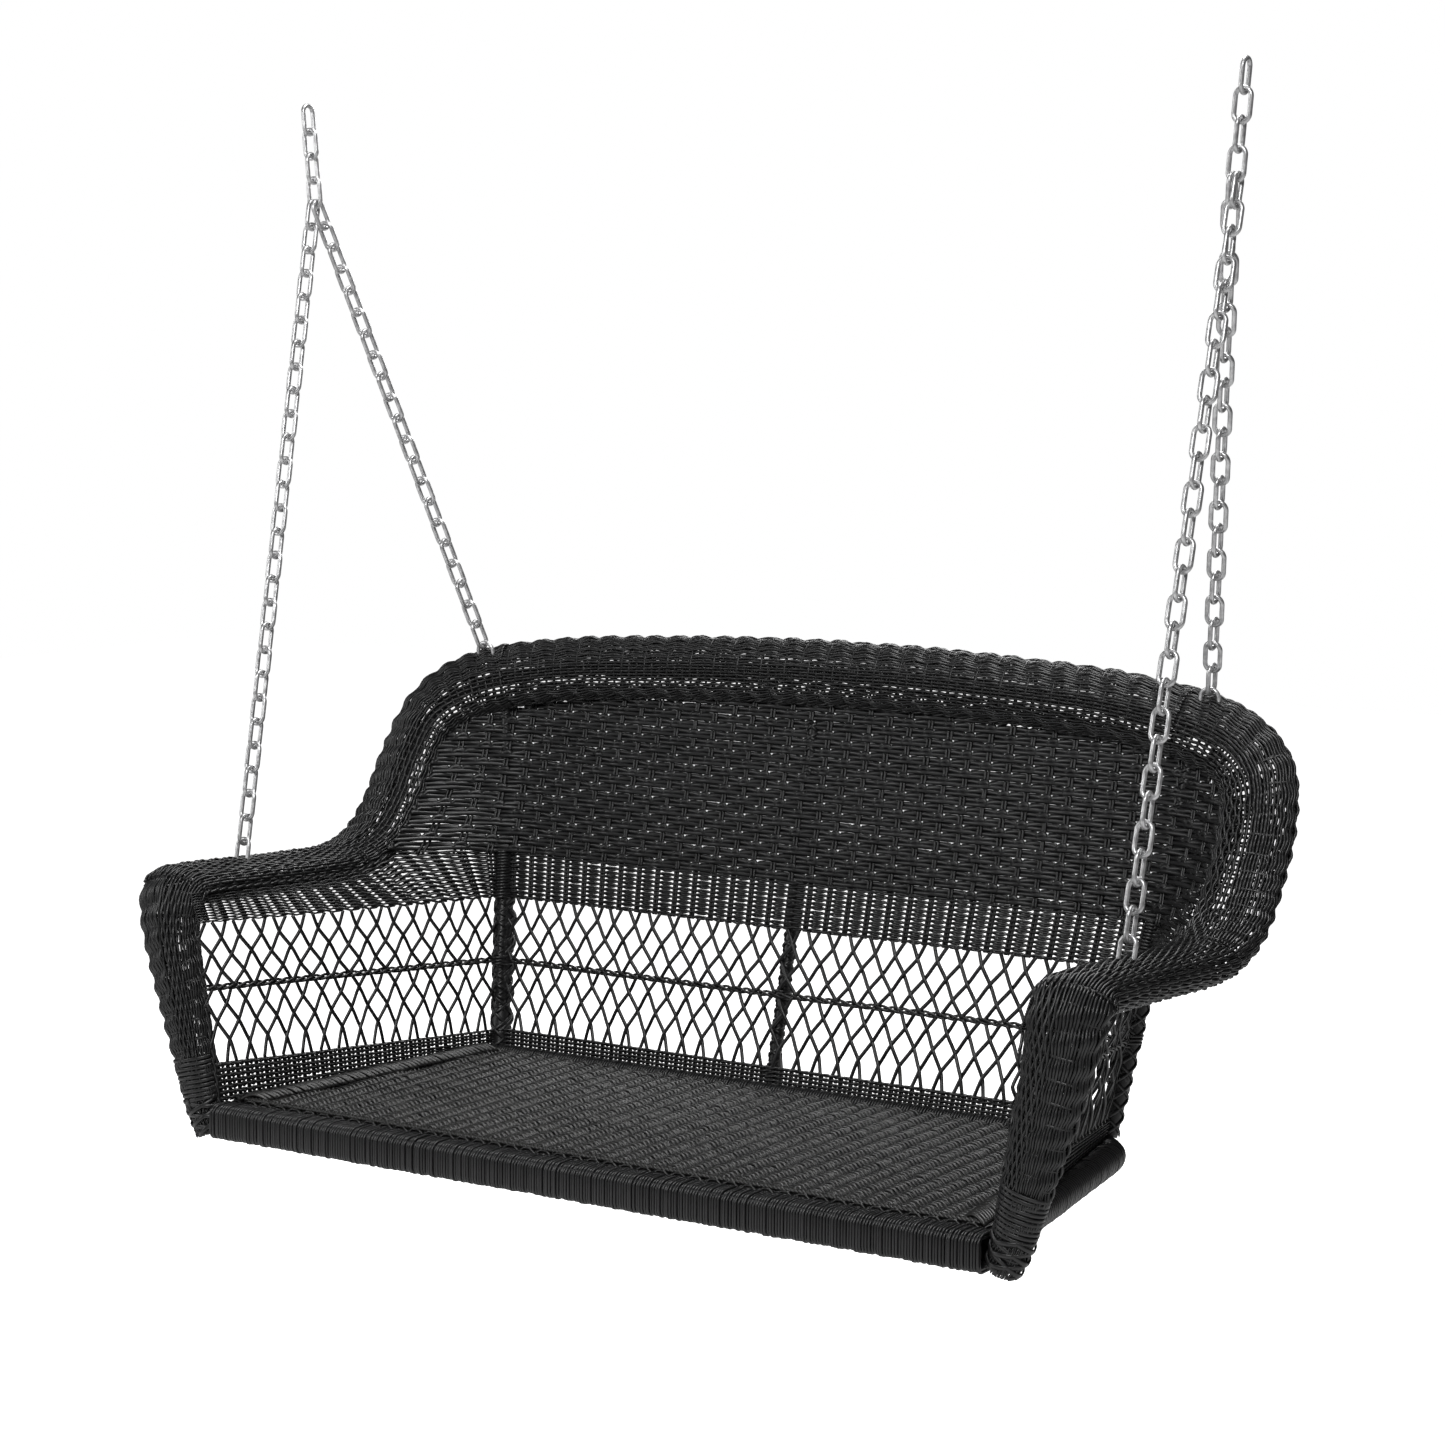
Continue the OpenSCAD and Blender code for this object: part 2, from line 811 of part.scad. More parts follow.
side_lattice(false, mid_line, lattice_line);  // side_lattice_upper_right
side_band(true);  // side_band_left
side_band(false);  // side_band_right
back_roll();
shoulder_roll(true);  // shoulder_roll_left
shoulder_roll(false);  // shoulder_roll_right
arm_roll(true);  // arm_roll_left
arm_roll(false);  // arm_roll_right
arm_front(true);  // arm_front_left
arm_front(false);  // arm_front_right
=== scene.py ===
"""Looks of the wicker porch swing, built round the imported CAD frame.

Metres, in the row frame: +X along the seat, +Y to the back, +Z up.
"""
import math

import bpy
import numpy as np
from mathutils import Matrix, Vector


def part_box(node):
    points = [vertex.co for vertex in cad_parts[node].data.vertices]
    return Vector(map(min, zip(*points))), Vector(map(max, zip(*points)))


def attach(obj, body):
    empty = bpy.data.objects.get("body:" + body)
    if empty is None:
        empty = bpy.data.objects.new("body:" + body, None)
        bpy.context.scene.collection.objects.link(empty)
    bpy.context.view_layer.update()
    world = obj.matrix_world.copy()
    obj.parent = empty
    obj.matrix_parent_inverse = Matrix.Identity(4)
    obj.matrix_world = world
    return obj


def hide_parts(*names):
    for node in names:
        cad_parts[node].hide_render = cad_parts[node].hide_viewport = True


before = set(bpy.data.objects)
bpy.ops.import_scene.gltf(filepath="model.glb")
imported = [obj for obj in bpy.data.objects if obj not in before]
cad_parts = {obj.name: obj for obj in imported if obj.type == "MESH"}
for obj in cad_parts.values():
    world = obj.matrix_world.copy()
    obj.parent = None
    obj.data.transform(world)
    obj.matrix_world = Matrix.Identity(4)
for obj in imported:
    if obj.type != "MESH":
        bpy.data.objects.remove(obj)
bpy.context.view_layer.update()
rng = np.random.default_rng(7)
SEAT = "swing_seat"
LEFT, RIGHT = -1, 1
SIDES = {"left": LEFT, "right": RIGHT}

# ---- Sizes, in metres ----------------------------------------------------------
FRONT_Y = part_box("front_rail_winding")[0].y
RAIL_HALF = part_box("front_rail_winding")[1].x + 0.026
RAIL_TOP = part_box("front_rail_winding")[1].z
RAIL_DEPTH = 0.045
ARM_X = RAIL_HALF + 0.077
ARM_Z = 0.325
BACK_Z = 0.603
SEAT_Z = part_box("seat_weave")[1].z
LEAN = math.tan(math.radians(13.6))
FOOT_D = 0.515
SIDE_TAPER = 0.070
# Pitch of the back weave's upright stakes, and of the crosswise stakes in the border
STAKE = 0.0314
CROSS = 0.013
REED = 0.0042
# Distance between the points of a strand that winds or twists
STRAND_STEP = 0.003


# ---- Materials -----------------------------------------------------------------
def new_material(name):
    mat = bpy.data.materials.new(name)
    mat.use_nodes = True
    nodes = mat.node_tree.nodes
    shader = nodes.get("Principled BSDF")
    return mat, nodes, mat.node_tree.links, shader


def object_noise(nodes, links, scale, detail):
    """Noise texture in the object's own coordinates."""
    where = nodes.new("ShaderNodeTexCoord")
    noise = nodes.new("ShaderNodeTexNoise")
    noise.inputs["Scale"].default_value = scale
    noise.inputs["Detail"].default_value = detail
    links.new(where.outputs["Object"], noise.inputs["Vector"])
    return noise


def rough_and_bump(mat_parts, roughness, rough_low, rough_high, relief, strength, distance):
    """Roughness from one noise texture, and a bump from one."""
    nodes, links, shader = mat_parts
    rough = nodes.new("ShaderNodeMapRange")
    rough.inputs["To Min"].default_value = rough_low
    rough.inputs["To Max"].default_value = rough_high
    links.new(roughness.outputs["Fac"], rough.inputs["Value"])
    links.new(rough.outputs["Result"], shader.inputs["Roughness"])
    bump = nodes.new("ShaderNodeBump")
    bump.inputs["Strength"].default_value = strength
    bump.inputs["Distance"].default_value = distance
    links.new(relief.outputs["Fac"], bump.inputs["Height"])
    links.new(bump.outputs["Normal"], shader.inputs["Normal"])


def reed_material(name, dark, light, rough_low, rough_high):
    """Painted reed: a shade for each strand, mottled, with fine fibres."""
    mat, nodes, links, shader = new_material(name)
    tint = nodes.new("ShaderNodeAttribute")
    tint.attribute_name = "tint"
    mottling = object_noise(nodes, links, 55.0, 5.0)
    fibres = object_noise(nodes, links, 900.0, 3.0)
    blend = nodes.new("ShaderNodeMath")
    blend.operation = "MULTIPLY_ADD"
    links.new(mottling.outputs["Fac"], blend.inputs[0])
    blend.inputs[1].default_value = 0.6
    links.new(tint.outputs["Fac"], blend.inputs[2])
    shade = nodes.new("ShaderNodeMapRange")
    shade.inputs["From Min"].default_value = 0.2
    shade.inputs["From Max"].default_value = 1.3
    links.new(blend.outputs["Value"], shade.inputs["Value"])
    colour = nodes.new("ShaderNodeMix")
    colour.data_type = "RGBA"
    colour.inputs[6].default_value = (*dark, 1)
    colour.inputs[7].default_value = (*light, 1)
    links.new(shade.outputs["Result"], colour.inputs[0])
    links.new(colour.outputs[2], shader.inputs["Base Color"])
    rough_and_bump((nodes, links, shader), fibres, rough_low, rough_high, fibres, 0.25, 0.0006)
    shader.inputs["Specular IOR Level"].default_value = 0.5
    return mat


def metal_material(name, low, high, metallic, rough_low, rough_high, scale):
    """Coated or plain metal with cloudy patches and small pits."""
    mat, nodes, links, shader = new_material(name)
    clouds = object_noise(nodes, links, scale, 6.0)
    pits = object_noise(nodes, links, scale * 9, 3.0)
    colour = nodes.new("ShaderNodeValToRGB")
    colour.color_ramp.elements[0].position = 0.35
    colour.color_ramp.elements[0].color = (*low, 1)
    colour.color_ramp.elements[1].position = 0.65
    colour.color_ramp.elements[1].color = (*high, 1)
    links.new(clouds.outputs["Fac"], colour.inputs["Fac"])
    links.new(colour.outputs["Color"], shader.inputs["Base Color"])
    rough_and_bump((nodes, links, shader), clouds, rough_low, rough_high, pits, 0.3, 0.0004)
    shader.inputs["Metallic"].default_value = metallic
    return mat


REED_MAT = reed_material("reed_black", (0.002, 0.002, 0.0022), (0.012, 0.012, 0.0125), 0.30, 0.46)
SEAT_MAT = reed_material("reed_seat", (0.0025, 0.0025, 0.0026), (0.022, 0.0217, 0.021), 0.30, 0.46)
TUBE_MAT = metal_material("frame_paint", (0.014, 0.014, 0.015), (0.03, 0.03, 0.032), 0.0,
                          0.35, 0.55, 60.0)
CHAIN_MAT = metal_material("galvanised_steel", (0.42, 0.42, 0.425), (0.68, 0.68, 0.685), 0.75,
                           0.26, 0.42, 120.0)


# ---- Strand meshes -------------------------------------------------------------
def unit(v):
    return v / np.maximum(np.linalg.norm(v, axis=-1, keepdims=True), 1e-12)


def strand_arrays(paths, up, wide, high, sides, closed):
    """Verts, quads, caps and tints of one tube along each path; paths are (P, N, 3)."""
    paths = np.asarray(paths, float)
    p, n, _ = paths.shape
    if closed:
        tangent = np.roll(paths, -1, axis=1) - np.roll(paths, 1, axis=1)
    else:
        tangent = np.gradient(paths, axis=1)
    tangent = unit(tangent)
    up = np.broadcast_to(np.asarray(up, float), paths.shape)
    side = unit(np.cross(tangent, up))
    normal = np.cross(side, tangent)
    wide = np.broadcast_to(np.asarray(wide, float), (p, n))[..., None, None]
    high = np.broadcast_to(np.asarray(high, float), (p, n))[..., None, None]
    ang = np.arange(sides) * 2 * math.pi / sides
    verts = (paths[:, :, None] + side[:, :, None] * wide * np.cos(ang)[None, None, :, None]
             + normal[:, :, None] * high * np.sin(ang)[None, None, :, None])
    index = np.arange(p * n * sides).reshape(p, n, sides)
    nxt = np.roll(index, -1, axis=2)
    if closed:
        a, b = index, nxt
        c, d = np.roll(nxt, -1, axis=1), np.roll(index, -1, axis=1)
    else:
        a, b = index[:, :-1], nxt[:, :-1]
        c, d = nxt[:, 1:], index[:, 1:]
    quads = np.stack([a, b, c, d], axis=-1).reshape(-1, 4)
    caps = []
    if not closed:
        caps = [index[:, 0, ::-1].reshape(-1, sides), index[:, -1].reshape(-1, sides)]
    tints = np.repeat(rng.uniform(0, 1, p), n * sides)
    return verts.reshape(-1, 3), quads, caps, tints


class Weave:
    """Collects strands into one mesh object."""

    def __init__(self, name, mat=None, slot="reed"):
        self.name, self.mat, self.slot = name, mat or REED_MAT, slot
        self.verts, self.faces, self.tints, self.count = [], [], [], 0

    def add(self, paths, up, wide=REED / 2, high=None, sides=6, closed=False):
        """Strands of half width wide and half thickness high; up is their upper side."""
        high = wide if high is None else high
        verts, quads, caps, tints = strand_arrays(paths, up, wide, high, sides, closed)
        self.verts.append(verts)
        self.faces += [f + self.count for f in [quads, *caps]]
        self.tints.append(tints)
        self.count += len(verts)
        return self

    def build(self, *nodes, mirror=None):
        """Make the object, which stands in for the named nodes; LEFT mirrors it."""
        verts = np.concatenate(self.verts)
        if mirror == LEFT:
            verts = verts * np.array([-1, 1, 1])
        mesh = bpy.data.meshes.new(self.name)
        faces = [f[:, ::-1] if mirror == LEFT else f for f in self.faces]
        loops = np.concatenate([f.ravel() for f in faces]).astype(np.int32)
        totals = np.concatenate([np.full(len(f), f.shape[1]) for f in faces]).astype(np.int32)
        starts = np.concatenate([[0], np.cumsum(totals)[:-1]]).astype(np.int32)
        mesh.vertices.add(len(verts))
        mesh.vertices.foreach_set("co", verts.astype(np.float32).ravel())
        mesh.loops.add(len(loops))
        mesh.loops.foreach_set("vertex_index", loops)
        mesh.polygons.add(len(totals))
        mesh.polygons.foreach_set("loop_start", starts)
        mesh.polygons.foreach_set("loop_total", totals)
        mesh.polygons.foreach_set("use_smooth", np.ones(len(totals), bool))
        mesh.update(calc_edges=True)
        tint = mesh.attributes.new("tint", "FLOAT", "POINT")
        tint.data.foreach_set("value", np.concatenate(self.tints).astype(np.float32))
        mesh.materials.append(self.mat)
        obj = bpy.data.objects.new(self.name, mesh)
        bpy.context.scene.collection.objects.link(obj)
        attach(obj, SEAT)
        if nodes:
            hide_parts(*nodes)
        print("piece", self.name, "faces", len(totals))
        return obj


def smooth_noise(length, count, step, amount):
    """Count rows of slow noise over a run, with a knot every step metres."""
    knots = max(int(length / step), 2) + 2
    table = rng.normal(0, amount, (count, knots))

    def at(s):
        x = np.clip(np.asarray(s) / length, 0, 1) * (knots - 1)
        i = np.minimum(x.astype(int), knots - 2)
        t = x - i
        t = t * t * (3 - 2 * t)
        return table[:, i] * (1 - t) + table[:, i + 1] * t

    return at


# ---- The rolled border's path --------------------------------------------------
# X, distance behind the front face, Z, tilt of the section in degrees, width, thickness
STATIONS = np.array([
    [RAIL_HALF - 0.002, 0.024, 0.002, 90, 0.044, 0.040],
    [RAIL_HALF + 0.012, 0.024, 0.036, 90, 0.054, 0.042],
    [RAIL_HALF + 0.028, 0.024, 0.096, 90, 0.066, 0.044],
    [RAIL_HALF + 0.046, 0.025, 0.165, 90, 0.078, 0.046],
    [RAIL_HALF + 0.068, 0.027, 0.254, 90, 0.090, 0.050],
    [ARM_X - 0.003, 0.032, ARM_Z - 0.028, 80, 0.100, 0.052],
    [ARM_X, 0.046, ARM_Z - 0.003, 40, 0.105, 0.056],
    [ARM_X, 0.074, ARM_Z + 0.001, 0, 0.105, 0.056],
    [ARM_X - 0.002, 0.180, ARM_Z - 0.004, 0, 0.105, 0.056],
    [ARM_X - 0.002, 0.290, ARM_Z - 0.010, 0, 0.105, 0.056],
    [ARM_X - 0.002, 0.385, ARM_Z - 0.010, 8, 0.105, 0.056],
    [ARM_X - 0.003, 0.457, ARM_Z + 0.013, 35, 0.105, 0.056],
    [ARM_X - 0.004, 0.506, ARM_Z + 0.062, 52, 0.105, 0.056],
    [ARM_X - 0.006, 0.547, ARM_Z + 0.128, 60, 0.105, 0.056],
    [ARM_X - 0.021, 0.578, ARM_Z + 0.185, 68, 0.105, 0.056],
    [ARM_X - 0.065, 0.601, BACK_Z - 0.055, 73, 0.100, 0.056],
    [ARM_X - 0.138, 0.616, BACK_Z - 0.032, 76, 0.095, 0.056],
    [ARM_X - 0.244, 0.628, BACK_Z - 0.017, 76, 0.092, 0.056],
    [ARM_X - 0.364, 0.634, BACK_Z - 0.009, 76, 0.091, 0.056],
    [ARM_X - 0.522, 0.636, BACK_Z - 0.002, 76, 0.091, 0.056],
    [0.0, 0.636, BACK_Z, 76, 0.091, 0.056],
])
ARM_FRONT_END, ARM_END, SHOULDER_END, CENTRE_END = 6, 10, 16, 20


def station(u):
    """Sizes and heading at u stations along the right half of the border."""
    u = np.asarray(u, float)
    last = len(STATIONS) - 1
    i = np.clip(np.floor(u).astype(int), 0, last - 1)
    t = (u - i)[..., None]
    a, b = STATIONS[np.maximum(i - 1, 0)], STATIONS[i]
    c, d = STATIONS[np.minimum(i + 1, last)], STATIONS[np.minimum(i + 2, last)]
    s = 0.5 * (2 * b + (c - a) * t + (2 * a - 5 * b + 4 * c - d) * t ** 2
               + (3 * b - a - 3 * c + d) * t ** 3)
    v = (c - a) + 2 * (2 * a - 5 * b + 4 * c - d) * t + 3 * (3 * b - a - 3 * c + d) * t ** 2
    return s, unit(v[..., :3])


# Runs along the border, measured at PER_STATION points for each station
PER_STATION = 200
_u = np.linspace(0, CENTRE_END, CENTRE_END * PER_STATION + 1)
_c = station(_u)[0][:, :3]
_run = np.concatenate([[0], np.cumsum(np.linalg.norm(np.diff(_c, axis=0), axis=1))])
BORDER_LENGTH = _run[-1]


def run_of(u):
    """Distance along the border from its middle at the back to station u."""
    return BORDER_LENGTH - np.interp(u, _u, _run)


def u_of(run):
    """Station at a signed run, the inverse of run_of."""
    return np.interp(BORDER_LENGTH - np.abs(run), _run, _u)


def border_frame(run):
    """Centre, outward and thickness directions, and section at a signed run."""
    run = np.asarray(run, float)
    s, heading = station(u_of(run))
    tilt = np.radians(s[..., 3])
    up = np.stack([0 * tilt, np.sin(tilt), -np.cos(tilt)], axis=-1)
    out = unit(np.cross(up, heading))
    thick = np.cross(heading, out)
    centre = s[..., :3] + np.array([0, FRONT_Y, 0])
    flip = np.where(run < 0, -1.0, 1.0)[..., None] * np.array([1, 0, 0]) + np.array([0, 1, 1])
    return centre * flip, out * flip, thick * flip, s[..., 4], s[..., 5]


def border_point(run, phi, lift):
    """Point and normal on the border at angle phi, lift above its cover's middle."""
    centre, out, thick, width, depth = border_frame(run)
    inset = 0.0034
    a = (width / 2 - inset + lift)[..., None]
    b = (depth / 2 - inset + lift)[..., None]
    cos, sin = np.cos(phi)[..., None], np.sin(phi)[..., None]
    return centre + out * a * cos + thick * b * sin, unit(out * cos / a + thick * sin / b)


# Middles and half widths, in degrees, of the two zones where the lengthwise reeds lie wider
# apart: 0 is outward, 90 to the rear or below, 180 to the seat
FRONT_OPEN, REAR_OPEN = 244, 96
FRONT_SPAN, REAR_SPAN = 27, 34


def reed_angles(front_gap, rear_gap):
    """Angles of the reeds laid round the section, and how far each is in the front zone."""
    ang = np.linspace(0, 2 * math.pi, 1200)
    half_wide, half_thick, close_pitch = 0.0475, 0.0255, 0.0041
    step = np.hypot(half_wide * np.sin(ang), half_thick * np.cos(ang)) * (ang[1] - ang[0])
    front = np.exp(-((np.degrees(ang) - FRONT_OPEN) / FRONT_SPAN) ** 4)
    rear = np.exp(-((np.degrees(ang) - REAR_OPEN) / REAR_SPAN) ** 4)
    pitch = close_pitch + front_gap * front + rear_gap * rear
    total = np.cumsum(step / pitch)
    count = int(round(total[-1]))
    marks = (np.arange(count) + 0.5) * total[-1] / count
    phi = np.interp(marks, total, ang)
    return phi, np.interp(phi, ang, front)


def roll_cover(weave, run0, run1, front_gap=0.0026, rear_gap=0.0056, plain_share=0.35,
               scallop=0.028):
    """Lengthwise reeds over crosswise stakes, for the border from run0 to run1.

    scallop is the length of the reeds' slow wave, and plain_share how much of the short
    over-and-under wave shows where the reeds lie close.
    """
    length = abs(run1 - run0)
    n = max(int(length / (CROSS / 3.5)), 12) + 1
    run = np.linspace(run0, run1, n)
    phi, loose = reed_angles(front_gap, rear_gap)
    k = np.arange(len(phi))[:, None]
    s = run[None, :]
    wander = smooth_noise(length, len(phi), 0.05, 0.0004)(np.abs(run - run0))
    rope = 0.0021 * np.cos(2 * math.pi * s / scallop + 0.22 * k)
    plain = 0.0014 * np.cos(math.pi * s / CROSS + math.pi * k)
    lift = rope * (1 - loose[:, None]) * 0.9
    lift = lift + plain * np.maximum(plain_share, loose[:, None]) + wander
    angle = phi[:, None] + wander * 18
    point, normal = border_point(np.broadcast_to(s, lift.shape), angle, lift)
    width = border_frame(run)[3]
    scale = np.clip(width / 0.1, 0.42, 1.0)[None, :]
    weave.add(point, normal, 0.0020 * scale + 0 * lift, 0.0019 * np.maximum(scale, 0.7))
    # Crosswise stakes
    first, last = sorted((run0, run1))
    marks = np.arange(math.ceil(first / CROSS), math.floor(last / CROSS) + 1) * CROSS
    arc = np.linspace(0, 2 * math.pi, 40, endpoint=False)
    rr, aa = np.meshgrid(marks, arc, indexing="ij")
    point, normal = border_point(rr, aa, np.full(rr.shape, -0.0012))
    weave.add(point, normal, 0.0019, 0.0014, sides=5, closed=True)


def edging(weave, run0, run1):
    """Twisted strands along the border's inner edge."""
    length = abs(run1 - run0)
    n = int(length / STRAND_STEP) + 2
    pair_turn, row_shift = 0.034, 1.1
    run = np.linspace(run0, run1, n)
    for row, (deg, radius) in enumerate([(172, 0.0026), (158, 0.0026), (145, 0.0024)]):
        for strand in (0, 1):
            turn = 2 * math.pi * run / pair_turn + math.pi * strand + row * row_shift
            phi = np.radians(deg) + 0.045 * np.sin(turn)
            lift = 0.0022 + 0.0017 * np.cos(turn)
            point, normal = border_point(run, phi, lift)
            weave.add(point[None], normal[None], radius * 0.8)


def cuff(weave, side):
    """Flat turns round the foot of the arm front, and crossed reeds below them."""
    arc = np.linspace(0, 2 * math.pi, 40, endpoint=False)
    heights = np.arange(0.048, 0.104, 0.0058)
    front = slice(0, ARM_FRONT_END * PER_STATION)
    marks = np.interp(heights, _c[front, 2], BORDER_LENGTH - _run[front])
    rr, aa = np.meshgrid(marks * side, arc, indexing="ij")
    point, normal = border_point(rr + 0.0007 * np.cos(aa), aa, np.full(rr.shape, 0.0016))
    weave.add(point, normal, 0.0027, 0.0011, closed=True)
    low = np.linspace(marks[0], run_of(0.15), 60) * side
    for hand in (-1, 1):
        for start in (0.0, 2.1, 4.2):
            phi = hand * (low * 2 * math.pi / 0.046) + start
            lift = 0.0024 + 0.0010 * np.cos(3 * phi + hand)
            point, normal = border_point(low, phi, lift)
            weave.add(point[None], normal[None], 0.0032, 0.0014)


def border_piece(name, u0, u1, side, **spacing):
    """One piece of the border, from station u0 to u1; the first also has the cuff."""
    run0, run1 = run_of(u0) * side, run_of(u1) * side
    weave = Weave(name + "_weave")
    roll_cover(weave, run0, run1, **spacing)
    edging(weave, run0, run1)
    if u0 == 0:
        cuff(weave, side)
    weave.build(name)


for side_name, side in SIDES.items():
    border_piece(f"arm_front_{side_name}", 0, ARM_FRONT_END, side, front_gap=0.0009,
                 rear_gap=0.0030)
    border_piece(f"arm_roll_{side_name}", ARM_FRONT_END, ARM_END, side, front_gap=0.0004,
                 rear_gap=0.0, plain_share=0.9)
    border_piece(f"shoulder_roll_{side_name}", ARM_END, SHOULDER_END, side)
_mid = Weave("back_roll_weave")
roll_cover(_mid, -run_of(SHOULDER_END), run_of(SHOULDER_END), front_gap=0.0009,
           rear_gap=0.0030, scallop=0.038)
edging(_mid, -run_of(SHOULDER_END), run_of(SHOULDER_END))
_mid.build("back_roll")


# ---- Back and side surfaces ----------------------------------------------------
# Height at which the back stands FOOT_D behind the front face and CORNER_X to each side
FOOT_Z = 0.065


def back_y(z):
    return FRONT_Y + FOOT_D + (z - FOOT_Z) * LEAN


BACK_NORMAL = unit(np.array([0, -1, LEAN]))
BASE_TOP, MID_Z, LATTICE_TOP, BAND_TOP = 0.069, 0.166, 0.253, 0.318
CORNER_X = 0.4865
CORNER_FLARE = 0.134


def corner_x(z):
    return CORNER_X + (z - FOOT_Z) * CORNER_FLARE


CORNER_TOP = np.array([corner_x(BAND_TOP) + 0.004, back_y(BAND_TOP), BAND_TOP])


def shoulder_pull(x, z):
    """How far the panel comes forward near the shoulders."""
    k = np.maximum(0, (np.abs(x) - 0.480) / 0.137)
    return (0.044 + 0.068 * np.exp(-(z - 0.350) / 0.075)) * k * k


def panel_point(x, z):
    """Point of the back's leaning surface."""
    return np.stack([x, back_y(z) - shoulder_pull(x, z), z], axis=-1)


def panel_normal(x, z):
    e = 0.002
    dx = panel_point(x + e, z) - panel_point(x - e, z)
    dz = panel_point(x, z + e) - panel_point(x, z - e)
    return unit(np.cross(dx, dz))


# X of the right side rail's front end
SIDE_FRONT = RAIL_HALF - 0.023


def side_lines():
    """Foot of the right base band, its top, the middle braid and the lattice's top, each
    from its front end to its rear end."""
    def rear(z, back):
        return np.array([corner_x(z) + 0.004, back_y(z) + back, z])

    def front(out, z):
        return np.array([SIDE_FRONT + out, FRONT_Y + 0.026, z])

    low = [front(0.013, RAIL_TOP - 0.002), rear(RAIL_TOP - 0.004, 0.002)]
    high = [front(0.020, 0.097), rear(BASE_TOP, 0.0)]
    mid = [front(0.032, 0.197), rear(MID_Z, 0.0)]
    top = [front(0.042, 0.284), rear(LATTICE_TOP, 0.0)]
    return low, high, mid, top


SIDE_LOW, SIDE_HIGH, SIDE_MID, SIDE_TOP = side_lines()


def lerp(a, b, t):
    """Points from a to b at the shares t."""
    t = np.asarray(t, float)[..., None]
    return a * (1 - t) + b * t


class Field:
    """A ruled four-sided field: at(s, t) gives points, s along and t up, both 0 to 1."""

    def __init__(self, a, b, c, d):
        self.a, self.b, self.c, self.d = (np.asarray(q, float) for q in (a, b, c, d))

    def at(self, s, t):
        return lerp(lerp(self.a, self.b, s), lerp(self.d, self.c, s), t)

    def normal(self, s, t):
        e = 0.01
        return unit(np.cross(self.at(s + e, t) - self.at(s - e, t),
                             self.at(s, t + e) - self.at(s, t - e)))

    def width(self):
        return float(np.linalg.norm(self.b - self.a) + np.linalg.norm(self.c - self.d)) / 2


def back_field(z0, z1):
    x0, x1 = corner_x(z0), corner_x(z1)
    return Field((-x0, back_y(z0), z0), (x0, back_y(z0), z0),
                 (x1, back_y(z1), z1), (-x1, back_y(z1), z1))


def side_field(low, high):
    return Field(low[0], low[1], high[1], high[0])


def lattice(weave, field, profile, cells, phase):
    """Diamond lattice of reeds over and under one another across the field.

    profile gives, against the share of the height, how many cells each reed has moved
    along from its crossing, and phase is where along a cell those crossings stand.
    """
    levels, moved = profile
    t = np.linspace(0, 1, 41)
    shift = np.interp(t, levels, moved)
    reach = math.ceil(max(abs(shift[0]), abs(shift[-1]))) + 1
    for direction in (-1, 1):
        for start in np.arange(-reach, cells + reach + 1):
            slip = rng.normal(0, 0.0006) / field.width()
            row = (start + phase + direction * shift) / cells + slip
            inside = np.flatnonzero((row > -0.004) & (row < 1.004))
            if len(inside) < 6:
                continue
            tt = np.linspace(t[inside[0]], t[inside[-1]], 26)
            ss = np.interp(tt, t, row)
            moved_here = np.interp(tt, t, shift)
            # Over one reed, under the next
            wave = np.cos(math.pi * (moved_here * 2)) * direction
            wave = wave * (1 if start % 2 else -1)
            n = field.normal(ss, tt)
            point = field.at(ss, tt) + n * (0.0018 * wave)[:, None]
            weave.add(point[None], n[None], 0.0029, 0.0021)
    return weave


UPPER_PROFILE = ([0, 0.24, 0.50, 0.76, 1.0], [0, 0.5, 1.0, 1.5, 1.82])
LOWER_PROFILE = ([0, 0.27, 0.54, 0.79, 1.0], [-0.25, 0, 0.5, 1.0, 1.38])
UPPER_PHASE, LOWER_PHASE = 0.5, 0.0


def braid(weave, a, b, normal, radius, turn, spread):
    """Three twisted strands along a straight line."""
    a, b = np.asarray(a, float), np.asarray(b, float)
    length = np.linalg.norm(b - a)
    n = int(length / STRAND_STEP) + 2
    s = np.linspace(0, 1, n)
    base = lerp(a, b, s)
    along = unit(b - a)
    side = unit(np.cross(along, normal))
    strands = 3
    for k in range(strands):
        ang = 2 * math.pi * (s * length / turn + k / strands)
        point = (base + side * (np.sin(ang) * spread)[:, None]
                 + np.asarray(normal) * (np.cos(ang) * spread * 0.7)[:, None])
        weave.add(point[None], np.broadcast_to(normal, point.shape)[None], radius)
    return weave


